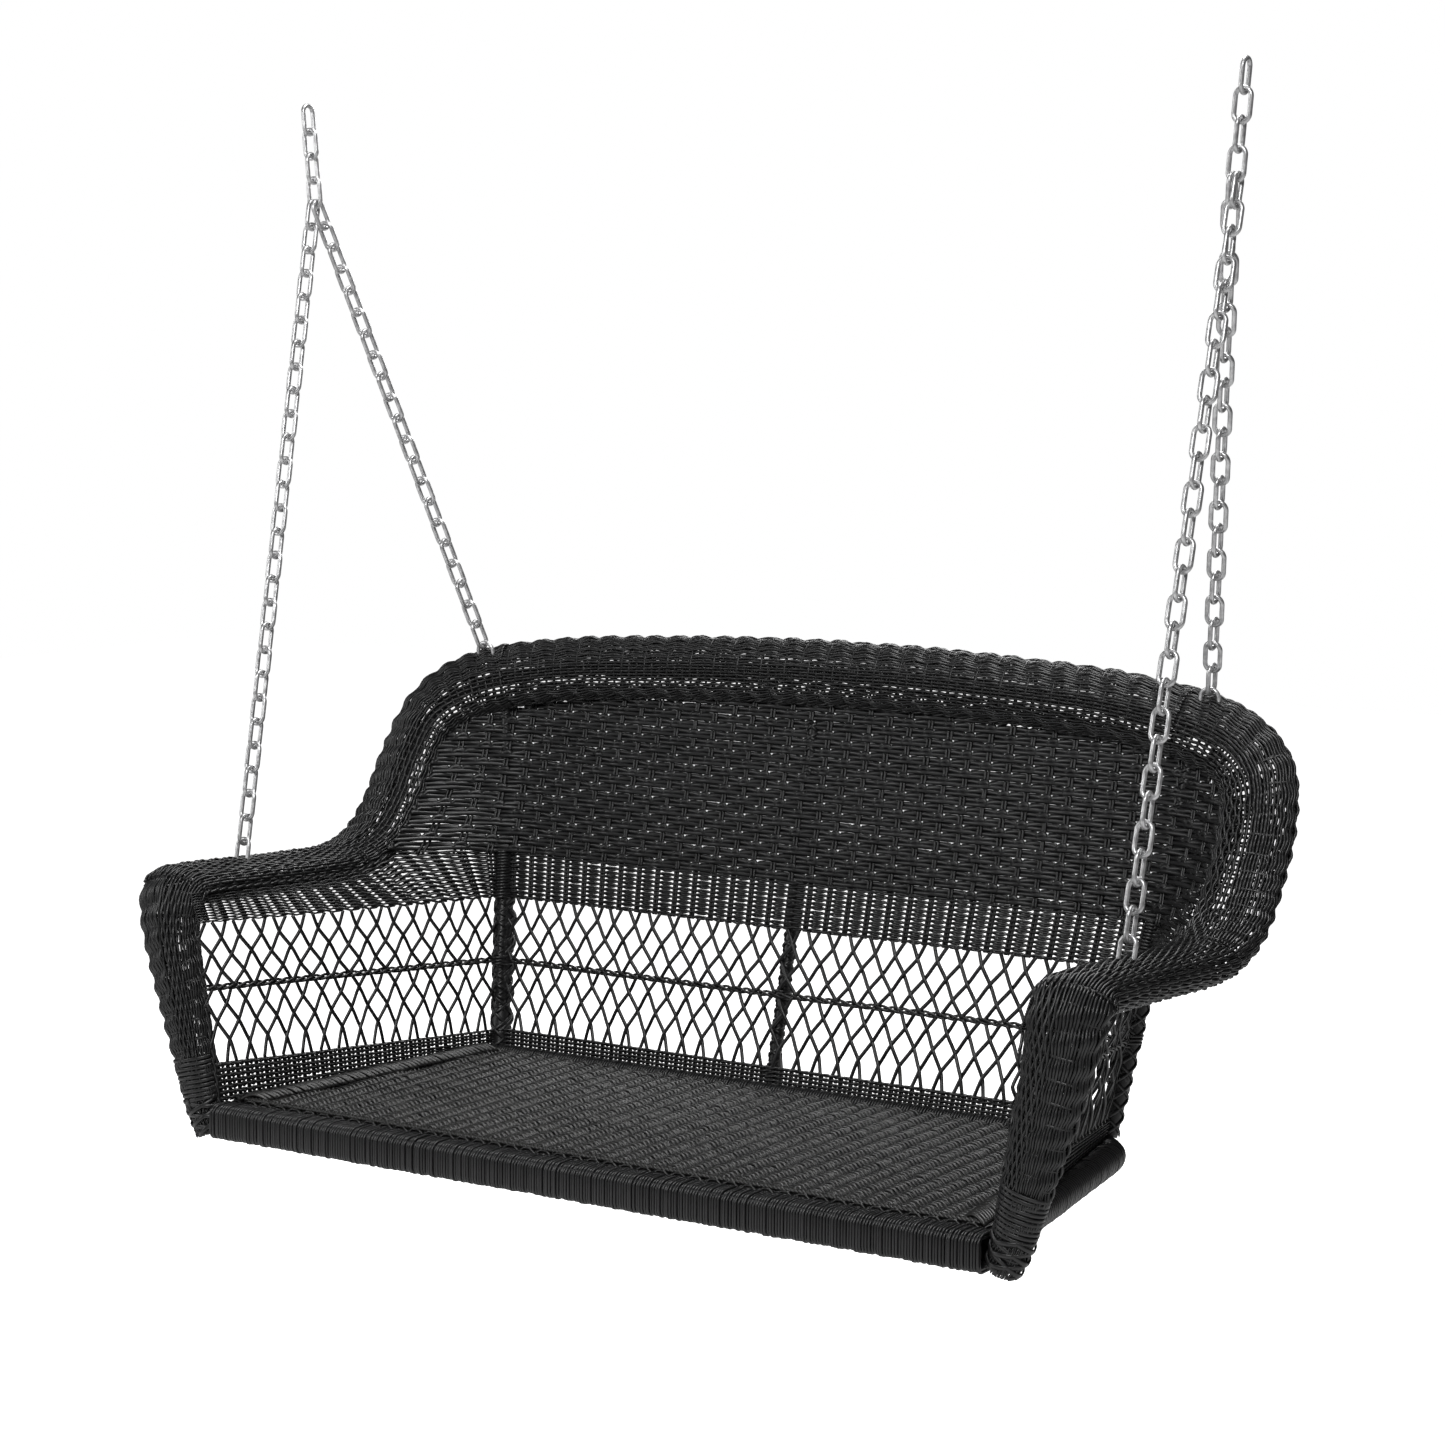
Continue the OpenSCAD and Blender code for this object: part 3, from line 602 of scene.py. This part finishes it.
def twined_band(weave, field, rows, stakes_at, stake_half=0.0046, reach=0.0080):
    """Pairs of weavers that twist round each other between upright stakes.

    stakes_at holds the stakes' places along the field, 0 to 1. The rows part beside a
    stake, which leaves a small hole on each side of it, and close beyond reach.
    """
    width = field.width()
    n = int(width / 0.0023) + 2
    s = np.linspace(0, 1, n)
    # Half a turn from one stake to the next
    turn = np.interp(s, stakes_at, np.arange(len(stakes_at)))
    spacing = stakes_at[1] - stakes_at[0]
    turn = turn + (np.minimum(s - stakes_at[0], 0) + np.maximum(s - stakes_at[-1], 0)) / spacing
    off = np.abs(turn - np.round(turn)) * spacing * width
    spread = 1 - np.exp(-(off / reach) ** 6)
    height = np.linalg.norm(field.at(s, 1 + 0 * s) - field.at(s, 0 * s), axis=-1)
    pitch = np.maximum(height, 0.012)[None, :] / rows
    mid = (np.arange(rows) + 0.5)[:, None] / rows
    wander = smooth_noise(width, rows, 0.06, 0.00025)(s * width)
    for strand in (0, 1):
        ang = math.pi * (turn[None, :] + strand)
        rise = 0.25 * pitch * np.sign(np.sin(ang)) * spread + wander
        depth = 0.0030 * np.cos(ang) + 0 * rise
        tt = mid + rise / (pitch * rows)
        ss = np.broadcast_to(s, tt.shape)
        normal = field.normal(ss, tt)
        point = field.at(ss, tt) + normal * depth[..., None]
        weave.add(point, normal, pitch * 0.275 + 0 * depth, 0.0015)
    tt = np.linspace(0.0, 1.0, 8)
    for half in (-0.5, 0.5):
        places = np.clip(np.asarray(stakes_at) + half * stake_half / width, 0, 1)
        ss, rows_t = np.meshgrid(places, tt, indexing="ij")
        normal = field.normal(ss, rows_t)
        weave.add(field.at(ss, rows_t), normal, stake_half / 2, 0.0015)
    return weave


def stake_places(width, pitch=STAKE):
    """Places of the stakes along a field of this width, 0 to 1."""
    return np.arange(pitch / 2, width - 0.004, pitch) / width


# Pitch of the base bands' stakes, which are the lattice reeds' ends
BASE_STAKE = 0.0157


# ---- The back's panels ---------------------------------------------------------
def back_base_band():
    field = back_field(0.044, BASE_TOP + 0.002)
    twined_band(Weave("back_base_band_weave"), field, 5, stake_places(field.width(), BASE_STAKE),
                0.0038, 0.0043).build("back_base_band")


BACK_CELLS, SIDE_CELLS = 31, 16


def back_lattices():
    low = back_field(BASE_TOP - 0.003, MID_Z)
    lattice(Weave("back_lattice_lower_reeds"), low, LOWER_PROFILE, BACK_CELLS,
            LOWER_PHASE).build("back_lattice_lower")
    high = back_field(MID_Z, LATTICE_TOP + 0.004)
    lattice(Weave("back_lattice_upper_reeds"), high, UPPER_PROFILE, BACK_CELLS,
            UPPER_PHASE).build("back_lattice_upper")
    x = corner_x(MID_Z)
    braid(Weave("back_mid_braid_strands"), (-x, back_y(MID_Z), MID_Z), (x, back_y(MID_Z), MID_Z),
          BACK_NORMAL, radius=0.0019, turn=0.05, spread=0.0030).build("back_mid_braid")


def back_band():
    field = back_field(LATTICE_TOP, BAND_TOP)
    twined_band(Weave("back_twined_band_weave"), field, 11,
                stake_places(field.width())).build("back_twined_band")


def shoulder_foot(x):
    """How far the weave's lower edge rises past the back's corners."""
    return np.maximum(0, np.abs(x) - CORNER_TOP[0]) * 0.1


# The weave's outline runs in under the rolled border. A smaller WEAVE_ROUND makes its upper
# corners squarer.
WEAVE_HALF, WEAVE_LOW, WEAVE_HIGH = 0.625, 0.440, BACK_Z - 0.042
WEAVE_ROUND = 0.30


def weave_top(x):
    """Height of the weave's upper edge at x."""
    k = np.minimum(np.abs(x) / WEAVE_HALF, 1) ** 3
    return WEAVE_LOW + (WEAVE_HIGH - WEAVE_LOW) * (1 - k) ** WEAVE_ROUND


def weave_reach(z):
    """Half width of the weave at height z, the inverse of weave_top."""
    share = np.clip((z - WEAVE_LOW) / (WEAVE_HIGH - WEAVE_LOW), 0, 0.9999)
    return WEAVE_HALF * (1 - share ** (1 / WEAVE_ROUND)) ** (1 / 3)


# How far beside a stake the small holes of the weave lie
HOLE_AT = 0.0070


def weave_steps(half):
    """Places along a weaver: close together where it passes the holes beside a stake."""
    beside = np.array([0, 0.0045, 0.0058, HOLE_AT, 0.0082, 0.0096])
    beside = np.concatenate([-beside[:0:-1], beside])
    count = math.ceil(half / STAKE)
    x = (np.arange(-count, count + 1)[:, None] * STAKE + beside).ravel()
    return np.concatenate([[-half], x[np.abs(x) < half - 0.001], [half]])


def back_weave():
    """Paired weavers over and under paired stakes. Beside every other stake the upper
    weaver is pinched down, which leaves a small hole on each side of it."""
    weave = Weave("back_weave_panel_weave")
    pitch, pair_half, lift_rows = 0.0121, 0.0031, 13
    rows = int((WEAVE_HIGH - BAND_TOP) / pitch)
    for i in range(rows):
        z = BAND_TOP + 0.006 + i * pitch
        half = float(weave_reach(np.array(z + 0.004)))
        x = weave_steps(half)
        theta = math.pi * (x / STAKE + i)
        # Distance from the nearest stake that this row's upper weaver passes behind
        off = np.abs((x / STAKE + i + 1) % 2 - 1) * STAKE
        dip = np.exp(-((off - HOLE_AT) / 0.0021) ** 2)
        deep = 0.0047 * np.clip(1 + smooth_noise(2 * half, 1, 0.03, 0.35)(x + half)[0], 0.2, 1.3)
        slow = smooth_noise(2 * half, 2, 0.045, 0.00018)(x + half)
        rise = np.stack([-pair_half + slow[0], pair_half - deep * dip + slow[1]])
        # The lower rows lift towards the ends, where the panel runs on past the band
        foot = shoulder_foot(x) * np.clip(1 - i / lift_rows, 0, 1)
        zz = z + rise + foot
        depth = 0.0029 * np.cos(theta) + smooth_noise(2 * half, 2, 0.03, 0.0003)(x + half)
        xx = np.broadcast_to(x, zz.shape)
        normal = panel_normal(xx, zz)
        point = panel_point(xx, zz) + normal * depth[..., None]
        weave.add(point, normal, 0.0036, 0.0027)
    count = int(0.622 / STAKE)
    for j in range(-count, count + 1):
        for half in (-1, 1):
            x0 = j * STAKE + half * 0.0022
            top = float(weave_top(np.array(x0)))
            z0 = BAND_TOP + float(shoulder_foot(np.array(x0)))
            n = max(int((top - z0) / 0.006), 3)
            z = np.linspace(z0 - 0.004, top, n)
            x = x0 + smooth_noise(0.25, 1, 0.05, 0.0006)(z - z0)[0]
            normal = panel_normal(x, z)
            weave.add(panel_point(x, z)[None], normal[None], 0.0021, 0.0015)
    weave.build("back_weave_panel")


back_base_band()
back_lattices()
back_band()
back_weave()


# ---- The sides' panels ---------------------------------------------------------
# Depth at which the side band leaves the arm for the back's corner, and the band's length
BAND_TURN_D = 0.440
SIDE_BAND_RUN = 0.53
_edge_run = run_of(np.linspace(ARM_FRONT_END + 0.6, 12.5, 60))
_edge = border_point(_edge_run, np.full(60, math.pi), np.zeros(60))[0]


def roll_edge(y):
    """Point of the border's inner edge at y, along the right arm."""
    return np.stack([np.interp(y, _edge[:, 1], _edge[:, 0]), y,
                     np.interp(y, _edge[:, 1], _edge[:, 2])], axis=-1)


def side_band_point(s, t):
    """Band between the lattice and the arm; behind the arm it runs to the back's corner."""
    s, t = np.broadcast_arrays(np.asarray(s, float), np.asarray(t, float))
    low = lerp(SIDE_TOP[0], SIDE_TOP[1], s)
    y = low[..., 1]
    turn_y = FRONT_Y + BAND_TURN_D
    edge = roll_edge(np.minimum(y, turn_y)) + np.array([0.004, 0, -0.003])
    share = np.clip((y - turn_y) / (SIDE_TOP[1][1] - turn_y), 0, 1)
    high = np.where((y > turn_y)[..., None], lerp(edge, CORNER_TOP, share), edge)
    return lerp(low, high, t)


class BandField(Field):
    """The side band as a field; its upper edge follows the border instead of a line."""

    def __init__(self):
        super().__init__(SIDE_TOP[0], SIDE_TOP[1], CORNER_TOP, CORNER_TOP)

    def at(self, s, t):
        return side_band_point(s, t)

    def width(self):
        return SIDE_BAND_RUN


def side_panels(side_name, side):
    """The five woven pieces of one side, from the rail up to the arm."""
    base = side_field(SIDE_LOW, SIDE_HIGH)
    weave = Weave(f"side_base_band_{side_name}_weave")
    twined_band(weave, base, 7, stake_places(base.width(), BASE_STAKE), 0.0036, 0.0046)
    weave.build(f"side_base_band_{side_name}", mirror=side)
    weave = Weave(f"side_lattice_lower_{side_name}_reeds")
    lattice(weave, side_field(SIDE_HIGH, SIDE_MID), LOWER_PROFILE, SIDE_CELLS, LOWER_PHASE)
    weave.build(f"side_lattice_lower_{side_name}", mirror=side)
    weave = Weave(f"side_lattice_upper_{side_name}_reeds")
    lattice(weave, side_field(SIDE_MID, SIDE_TOP), UPPER_PROFILE, SIDE_CELLS, UPPER_PHASE)
    weave.build(f"side_lattice_upper_{side_name}", mirror=side)
    field = side_field(SIDE_MID, SIDE_TOP)
    normal = field.normal(np.array(0.5), np.array(0.0))
    weave = Weave(f"side_mid_braid_{side_name}_strands")
    braid(weave, SIDE_MID[0], SIDE_MID[1], normal, radius=0.0019, turn=0.05, spread=0.0030)
    weave.build(f"side_mid_braid_{side_name}", mirror=side)
    weave = Weave(f"side_band_{side_name}_weave")
    band = BandField()
    twined_band(weave, band, 12, stake_places(band.width()), 0.0046, 0.0064)
    weave.build(f"side_band_{side_name}", mirror=side)


for side_name, side in SIDES.items():
    side_panels(side_name, side)


# ---- Posts, wrapped ------------------------------------------------------------
def wrapped_post(name, node, x0, x1):
    """Post behind the weave, bound to it with criss-cross reeds."""
    low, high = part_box(node)
    z0, z1 = low.z, high.z

    def place(t):
        """Point of the post's axis: behind the panel, and into the border at the top."""
        x, z = x0 + (x1 - x0) * t, z0 + (z1 - z0) * t
        y = panel_point(x, z)[..., 1] + 0.0126 - 0.0110 * np.clip(t * 4 - 3, 0, 1)
        return np.stack([x, y, z], axis=-1)

    a, b = place(np.array(0.0)), place(np.array(1.0))
    along = unit(b - a)
    side = unit(np.cross(along, np.array([0, -1.0, 0])))
    front = np.cross(side, along)
    weave = Weave(name)
    t = np.linspace(0, 1, 60)
    core = place(t)
    weave.add(core[None], np.broadcast_to(front, core.shape)[None], 0.0080, sides=16)
    length = np.linalg.norm(b - a)
    # Flat reeds wound both ways, two of each
    for hand in (-1, 1):
        for start in (0.0, math.pi):
            t = np.linspace(0, 1, int(length / STRAND_STEP))
            ang = hand * (2 * math.pi * t * length / 0.030) + start
            lift = 0.0090 + 0.0009 * np.cos(2 * ang + hand)
            radial = np.cos(ang)[:, None] * front + np.sin(ang)[:, None] * side
            point = place(t) + radial * lift[:, None]
            weave.add(point[None], radial[None], 0.0022, 0.0010)
    # Close turns that bind the post where the bands and the braid cross it
    for z_low, z_high in ((LATTICE_TOP, BAND_TOP), (MID_Z - 0.006, MID_Z + 0.006),
                          (SEAT_Z + 0.002, BASE_TOP)):
        ring = np.arange(z_low, z_high, 0.0042)
        ang = np.linspace(0, 2 * math.pi, 16, endpoint=False)
        t = (ring - z0) / (z1 - z0)
        centre = place(t)
        radial = np.cos(ang)[:, None] * front * 1.35 + np.sin(ang)[:, None] * side
        point = centre[:, None] + radial[None] * 0.0104
        weave.add(point, np.broadcast_to(unit(radial), point.shape), 0.0020, 0.0012, closed=True)
    weave.build(node)


def corner_post(name, node, side):
    """Corner post as seen inside: a bundle of criss-cross reeds up the corner."""
    low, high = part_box(node)
    wrapped_post(name, node, side * corner_x(low.z), side * corner_x(high.z))


corner_post("back_post_left_wrap", "back_post_left", LEFT)
corner_post("back_post_right_wrap", "back_post_right", RIGHT)
wrapped_post("back_post_centre_wrap", "back_post_centre", -0.028, -0.026)


# Radius of the bundle's core
BUNDLE = 0.0135


def corner_wrap(side_name, side):
    """Bundle of bound reeds up the corner between the back and side lattices."""
    weave = Weave(f"corner_wrap_{side_name}")
    z = np.linspace(SEAT_Z - 0.004, BAND_TOP + 0.004, 120)
    centre = np.stack([corner_x(z) + 0.003, back_y(z) + 0.004, z], axis=-1)
    axis = unit(centre[-1] - centre[0])
    side_dir = unit(np.array([1.0, 0.6, 0]))
    front = unit(np.cross(side_dir, axis))
    core = np.broadcast_to(front, centre.shape)
    weave.add(centre[None], core[None], BUNDLE, sides=20)
    for hand in (-1, 1):
        for start in (0.0, 2.1, 4.2):
            ang = hand * 2 * math.pi * z / 0.068 + start
            radial = np.cos(ang)[:, None] * side_dir + np.sin(ang)[:, None] * front
            lift = BUNDLE + 0.0012 + 0.0008 * np.cos(3 * ang)
            weave.add((centre + radial * lift[:, None])[None], radial[None], 0.0026, 0.0012)
    # Thick crossed turns behind, which make its outline lumpy
    for start in (0.0, math.pi):
        ang = 2 * math.pi * z / 0.070 + start
        radial = np.cos(ang)[:, None] * side_dir + np.sin(ang)[:, None] * front
        inside = np.clip(-(radial @ np.array([0.4, -0.9, 0])), 0, 1)
        point = centre + radial * (BUNDLE - 0.003 + 0.006 * inside)[:, None]
        weave.add(point[None], radial[None], 0.0046, 0.0036, sides=8)
    # Close turns where the twined band meets the corner, and at the braid
    for z_low, z_high in ((LATTICE_TOP + 0.002, BAND_TOP + 0.002), (MID_Z - 0.004, MID_Z + 0.005)):
        rings = np.arange(z_low, z_high, 0.0044)
        ang = np.linspace(0, 2 * math.pi, 18, endpoint=False)
        middle = np.stack([corner_x(rings) + 0.003, back_y(rings) + 0.004, rings], axis=-1)
        radial = np.cos(ang)[:, None] * side_dir + np.sin(ang)[:, None] * front
        point = middle[:, None] + radial[None] * (BUNDLE + 0.0020)
        weave.add(point, np.broadcast_to(radial, point.shape), 0.0021, 0.0013, closed=True)
    weave.build(mirror=side)


for side_name, side in SIDES.items():
    corner_wrap(side_name, side)


# ---- Seat frame windings -------------------------------------------------------
def front_rail():
    """Close turns of reed round the front rail, which has rounded corners."""
    pitch = 0.0041
    count = int(2 * (RAIL_HALF - 0.016) / pitch)
    x = (np.arange(count) - (count - 1) / 2) * pitch
    r, points = 0.011, 28
    ang = np.linspace(0, 2 * math.pi, points, endpoint=False) + 0.11
    half_y, half_z = RAIL_DEPTH / 2 - 0.0016, RAIL_TOP / 2 - 0.0016
    corner = np.stack([np.sign(np.cos(ang)) * (half_y - r), np.sign(np.sin(ang)) * (half_z - r)], 1)
    flat = corner + np.stack([np.cos(ang), np.sin(ang)], 1) * r
    centre_y, centre_z = FRONT_Y + RAIL_DEPTH / 2, RAIL_TOP / 2
    lean = np.sin(ang)[None, :] * pitch * 0.25
    wobble = rng.normal(0, 0.0003, (count, 1))
    point = np.stack([x[:, None] + lean + wobble,
                      np.broadcast_to(flat[:, 0] + centre_y, (count, points)),
                      np.broadcast_to(flat[:, 1] + centre_z, (count, points))], axis=-1)
    lift = rng.normal(0, 0.0006, (count, 1, 1)).clip(-0.0012, 0.0010)
    normal = np.stack([0 * ang, np.cos(ang), np.sin(ang)], axis=-1)
    point = point + normal[None] * lift
    weave = Weave("front_rail_wound")
    weave.add(point, np.broadcast_to(normal, point.shape), 0.00195, 0.0021, closed=True)
    weave.build("front_rail_winding")


def round_winding(weave, centres, along, radius, tilt, wide=0.0021):
    """Closed turns round a round tube; centres (P, 3), along (P, 3), tilt in metres."""
    ang = np.linspace(0, 2 * math.pi, 22, endpoint=False)
    side = unit(np.cross(along, np.array([0, 0, 1.0])))
    up = np.cross(side, along)
    radial = (np.cos(ang)[None, :, None] * side[:, None] + np.sin(ang)[None, :, None] * up[:, None])
    jitter = 1 + rng.normal(0, 0.012, (len(centres), 1, 1))
    point = centres[:, None] + radial * radius * jitter
    point = point + along[:, None] * (np.cos(ang)[None, :, None] * tilt)
    weave.add(point, radial, wide, 0.0017, closed=True)


def side_and_back_rails():
    """Turns round the side rails, and round the back rail with its two rounded corners."""
    radius, side_pitch, rear_pitch = 0.0197, 0.0064, 0.0042
    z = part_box("side_rail_winding_right")[1].z - 0.0213
    x0, x1 = SIDE_FRONT, SIDE_FRONT - SIDE_TAPER
    y0, y1 = FRONT_Y + 0.049, FRONT_Y + 0.505
    corner = 0.048
    a = np.array([x0, y0, z])
    b = np.array([x1, y1 - 0.010, z])
    run = unit(b - a)
    # The rear corner's round, from the side rail's heading to the back rail's
    turn = math.atan2(run[1], -run[0])
    line_x = x0 + run[0] / run[1] * (y1 - y0)
    reach = corner * math.tan(turn / 2)
    stop = np.array([line_x, y1, z]) - run * reach
    length = np.linalg.norm(stop - a)
    count = int(length / side_pitch)
    for side_name, side in SIDES.items():
        t = (np.arange(count) + 0.5) / count
        weave = Weave(f"side_rail_{side_name}_wound")
        along = np.broadcast_to(run, (count, 3))
        round_winding(weave, lerp(a, stop, t), along, radius, 0.010, 0.0030)
        weave.build(f"side_rail_winding_{side_name}", mirror=side)
    arcs = int(corner * turn / rear_pitch)
    ang = math.pi / 2 - turn * (1 - (np.arange(arcs) + 0.5) / arcs)
    middle = np.array([line_x - reach, y1 - corner, z])
    pts = middle + corner * np.stack([np.cos(ang), np.sin(ang), 0 * ang], axis=-1)
    dirs = np.stack([-np.sin(ang), np.cos(ang), 0 * ang], axis=-1)
    straight = int(2 * middle[0] / rear_pitch)
    x = middle[0] - (np.arange(straight) + 0.5) * 2 * middle[0] / straight
    line = np.stack([x, 0 * x + y1, 0 * x + z], axis=-1)
    weave = Weave("back_rail_wound")
    round_winding(weave, pts, dirs, radius, 0.002)
    round_winding(weave, line, np.broadcast_to([-1.0, 0, 0], line.shape), radius, 0.002)
    round_winding(weave, pts * np.array([-1, 1, 1]), dirs * np.array([1, -1, 1]), radius, 0.002)
    weave.build("back_rail_winding")


front_rail()
side_and_back_rails()


# ---- Seat ----------------------------------------------------------------------
def seat_half(y):
    """Half width of the seat's weave at y, up to the side rails."""
    slope = SIDE_TAPER / (FOOT_D - 0.070)
    return SIDE_FRONT - (y - FRONT_Y - 0.049) * slope - 0.017


def seat():
    """Close weavers along X over ribs that run from front to back."""
    y0, y1 = FRONT_Y + RAIL_DEPTH - 0.001, FRONT_Y + 0.487
    pitch, rib = 0.0043, 0.0255
    rows = int((y1 - y0) / pitch)
    weave = Weave("seat_weave_reeds", SEAT_MAT)
    beside = np.array([-0.0024, 0, 0.0024, rib / 3, 2 * rib / 3])
    reach = math.ceil(0.6 / rib)
    steps = (np.arange(-reach, reach + 1)[:, None] * rib + beside).ravel()
    for i in range(rows):
        y = y0 + (i + 0.5) * (y1 - y0) / rows
        half = float(seat_half(y))
        x = np.concatenate([[-half], steps[np.abs(steps) < half - 0.001], [half]])
        wave = smooth_noise(2 * half, 1, 0.03, 0.0004)(x + half)[0]
        # Down into the groove between two ribs; one row stands higher than the next
        groove = np.exp(-(((x / rib + 0.5) % 1 - 0.5) * rib / 0.0034) ** 2)
        z = SEAT_Z - 0.0022 - 0.0068 * groove + 0.0009 * (-1) ** i * (1 - groove) + wave
        yy = y + 0.0003 * np.cos(math.pi * (x / rib + i)) + 0.4 * wave
        point = np.stack([x, yy, z], axis=-1)
        up = np.broadcast_to([0, 0, 1.0], point.shape)
        weave.add(point[None], up[None], 0.0028, 0.0018)
    count = int(0.57 / rib) + 1
    for j in range(-count, count + 1):
        y = np.linspace(y0 - 0.002, y1 + 0.002, 40)
        middle = (j + 0.5) * rib
        ok = abs(middle) < seat_half(y) - 0.002
        if ok.sum() < 5:
            continue
        y = np.linspace(y[ok][0], y[ok][-1], 40)
        point = np.stack([middle + 0 * y, y, SEAT_Z - 0.0062 + 0 * y], axis=-1)
        up = np.broadcast_to([0, 0, 1.0], point.shape)
        weave.add(point[None], up[None], 0.0042, 0.0026)
    weave.build("seat_weave")
    edge = Weave("seat_edge_braid_strands", SEAT_MAT)
    y = FRONT_Y + RAIL_DEPTH + 0.004
    half = float(seat_half(y))
    braid(edge, (-half, y, SEAT_Z + 0.0005), (half, y, SEAT_Z + 0.0005), np.array([0, 0, 1.0]),
          radius=0.0020, turn=0.018, spread=0.0026)
    line = np.linspace(-half, half, 60)
    flat = np.stack([line, 0 * line + y, 0 * line + SEAT_Z - 0.0062], axis=-1)
    edge.add(flat[None], np.array([0, 0, 1.0]), 0.0075, 0.0016)
    edge.build("seat_edge_braid")


def seat_side_wraps():
    """Slanted turns that bind the seat's sides down to the side rails."""
    y0, y1, pitch = FRONT_Y + RAIL_DEPTH + 0.008, FRONT_Y + 0.476, 0.0076
    for side_name, side in SIDES.items():
        start = np.arange(y0, y1, pitch)[:, None]
        start = start + rng.normal(0, 0.0005, start.shape)
        across = np.linspace(0, 1, 10)[None, :]
        y = start + (across - 0.5) * 0.016
        x = seat_half(y) + 0.006 - across * 0.034
        z = SEAT_Z - 0.0010 + 0.0080 * np.sin(math.pi * across) + rng.normal(0, 0.0004, start.shape)
        point = np.stack([x, y, z], axis=-1)
        up = np.broadcast_to([0, 0, 1.0], point.shape)
        weave = Weave(f"seat_side_wrap_{side_name}", SEAT_MAT)
        weave.add(point, up, 0.0032, 0.0024)
        weave.build(mirror=side)


seat()
seat_side_wraps()

# ---- Carried-over CAD nodes ----------------------------------------------------
CHAIN_NODES = ("top_link", "upper_chain", "chain_front", "chain_back", "arm_ring", "back_eye")
for node_name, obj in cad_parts.items():
    base = node_name.rsplit("_", 1)[0]
    mat = CHAIN_MAT if base in CHAIN_NODES else TUBE_MAT
    obj.data.materials.clear()
    obj.data.materials.append(mat)
    if base in CHAIN_NODES:
        obj.data.polygons.foreach_set("use_smooth", np.ones(len(obj.data.polygons), bool))

# ---- Studio --------------------------------------------------------------------
# The floor and the world are plain white to the camera and much dimmer to everything else
FLOOR_Z, FLOOR_HALF = -0.45, 9
floor_mesh = bpy.data.meshes.new("studio_floor")
floor_mesh.from_pydata([(x * FLOOR_HALF, y * FLOOR_HALF, FLOOR_Z)
                        for x, y in ((-1, -1), (1, -1), (1, 1), (-1, 1))], [], [(0, 1, 2, 3)])
studio_floor = bpy.data.objects.new("studio_floor", floor_mesh)
bpy.context.scene.collection.objects.link(studio_floor)
floor_mat, floor_nodes, floor_links, floor_shader = new_material("floor_white")
floor_shader.inputs["Base Color"].default_value = (0.93, 0.93, 0.93, 1)
floor_shader.inputs["Roughness"].default_value = 0.9
floor_rays = floor_nodes.new("ShaderNodeLightPath")
floor_shader.inputs["Emission Color"].default_value = (1, 1, 1, 1)
floor_links.new(floor_rays.outputs["Is Camera Ray"], floor_shader.inputs["Emission Strength"])
floor_mesh.materials.append(floor_mat)

world = bpy.context.scene.world or bpy.data.worlds.new("studio")
bpy.context.scene.world = world
world.use_nodes = True
world.node_tree.nodes["Background"].inputs[0].default_value = (1, 1, 1, 1)
world_rays = world.node_tree.nodes.new("ShaderNodeLightPath")
world_level = world.node_tree.nodes.new("ShaderNodeMapRange")
world_level.inputs["To Min"].default_value = 0.07
world_level.inputs["To Max"].default_value = 1.0
world.node_tree.links.new(world_rays.outputs["Is Camera Ray"], world_level.inputs["Value"])
world.node_tree.links.new(world_level.outputs["Result"],
                          world.node_tree.nodes["Background"].inputs[1])


def area_light(name, place, target, size, power):
    """Square light at place that faces the target."""
    data = bpy.data.lights.new(name, "AREA")
    data.size = size
    data.energy = power
    obj = bpy.data.objects.new(name, data)
    bpy.context.scene.collection.objects.link(obj)
    obj.location = place
    obj.rotation_euler = (Vector(target) - Vector(place)).to_track_quat("-Z", "Y").to_euler()


MIDDLE = (0, 0, 0.4)
area_light("key", (1.4, -3.2, 3.0), MIDDLE, 1.2, 105)
area_light("fill", (-3.0, -2.4, 1.6), MIDDLE, 1.6, 40)
area_light("top", (0.2, 0.6, 3.4), MIDDLE, 1.4, 75)
area_light("rear", (-1.6, 3.2, 2.2), MIDDLE, 1.6, 55)

# ---- Camera --------------------------------------------------------------------
# Solved from the object's parallel lines; FOCAL is the focal length in picture widths
AZIMUTH, ELEVATION = math.radians(33.23), math.radians(6.69)
SENSOR, FOCAL = 36.0, 2.2581315
camera_data = bpy.data.cameras.new("camera")
camera_data.sensor_width = SENSOR
camera_data.lens = SENSOR * FOCAL
camera_data.clip_end = 60
camera = bpy.data.objects.new("camera", camera_data)
bpy.context.scene.collection.objects.link(camera)
back = Vector((math.sin(AZIMUTH) * math.cos(ELEVATION), -math.cos(AZIMUTH) * math.cos(ELEVATION),
               math.sin(ELEVATION)))
right = Vector((math.cos(AZIMUTH), math.sin(AZIMUTH), 0))
up_dir = back.cross(right)
camera.matrix_world = Matrix((
    (right.x, up_dir.x, back.x, 2.317),
    (right.y, up_dir.y, back.y, -3.179 + FRONT_Y),
    (right.z, up_dir.z, back.z, 1.057),
    (0, 0, 0, 1)))
bpy.context.scene.camera = camera
bpy.context.scene.view_settings.view_transform = "Standard"
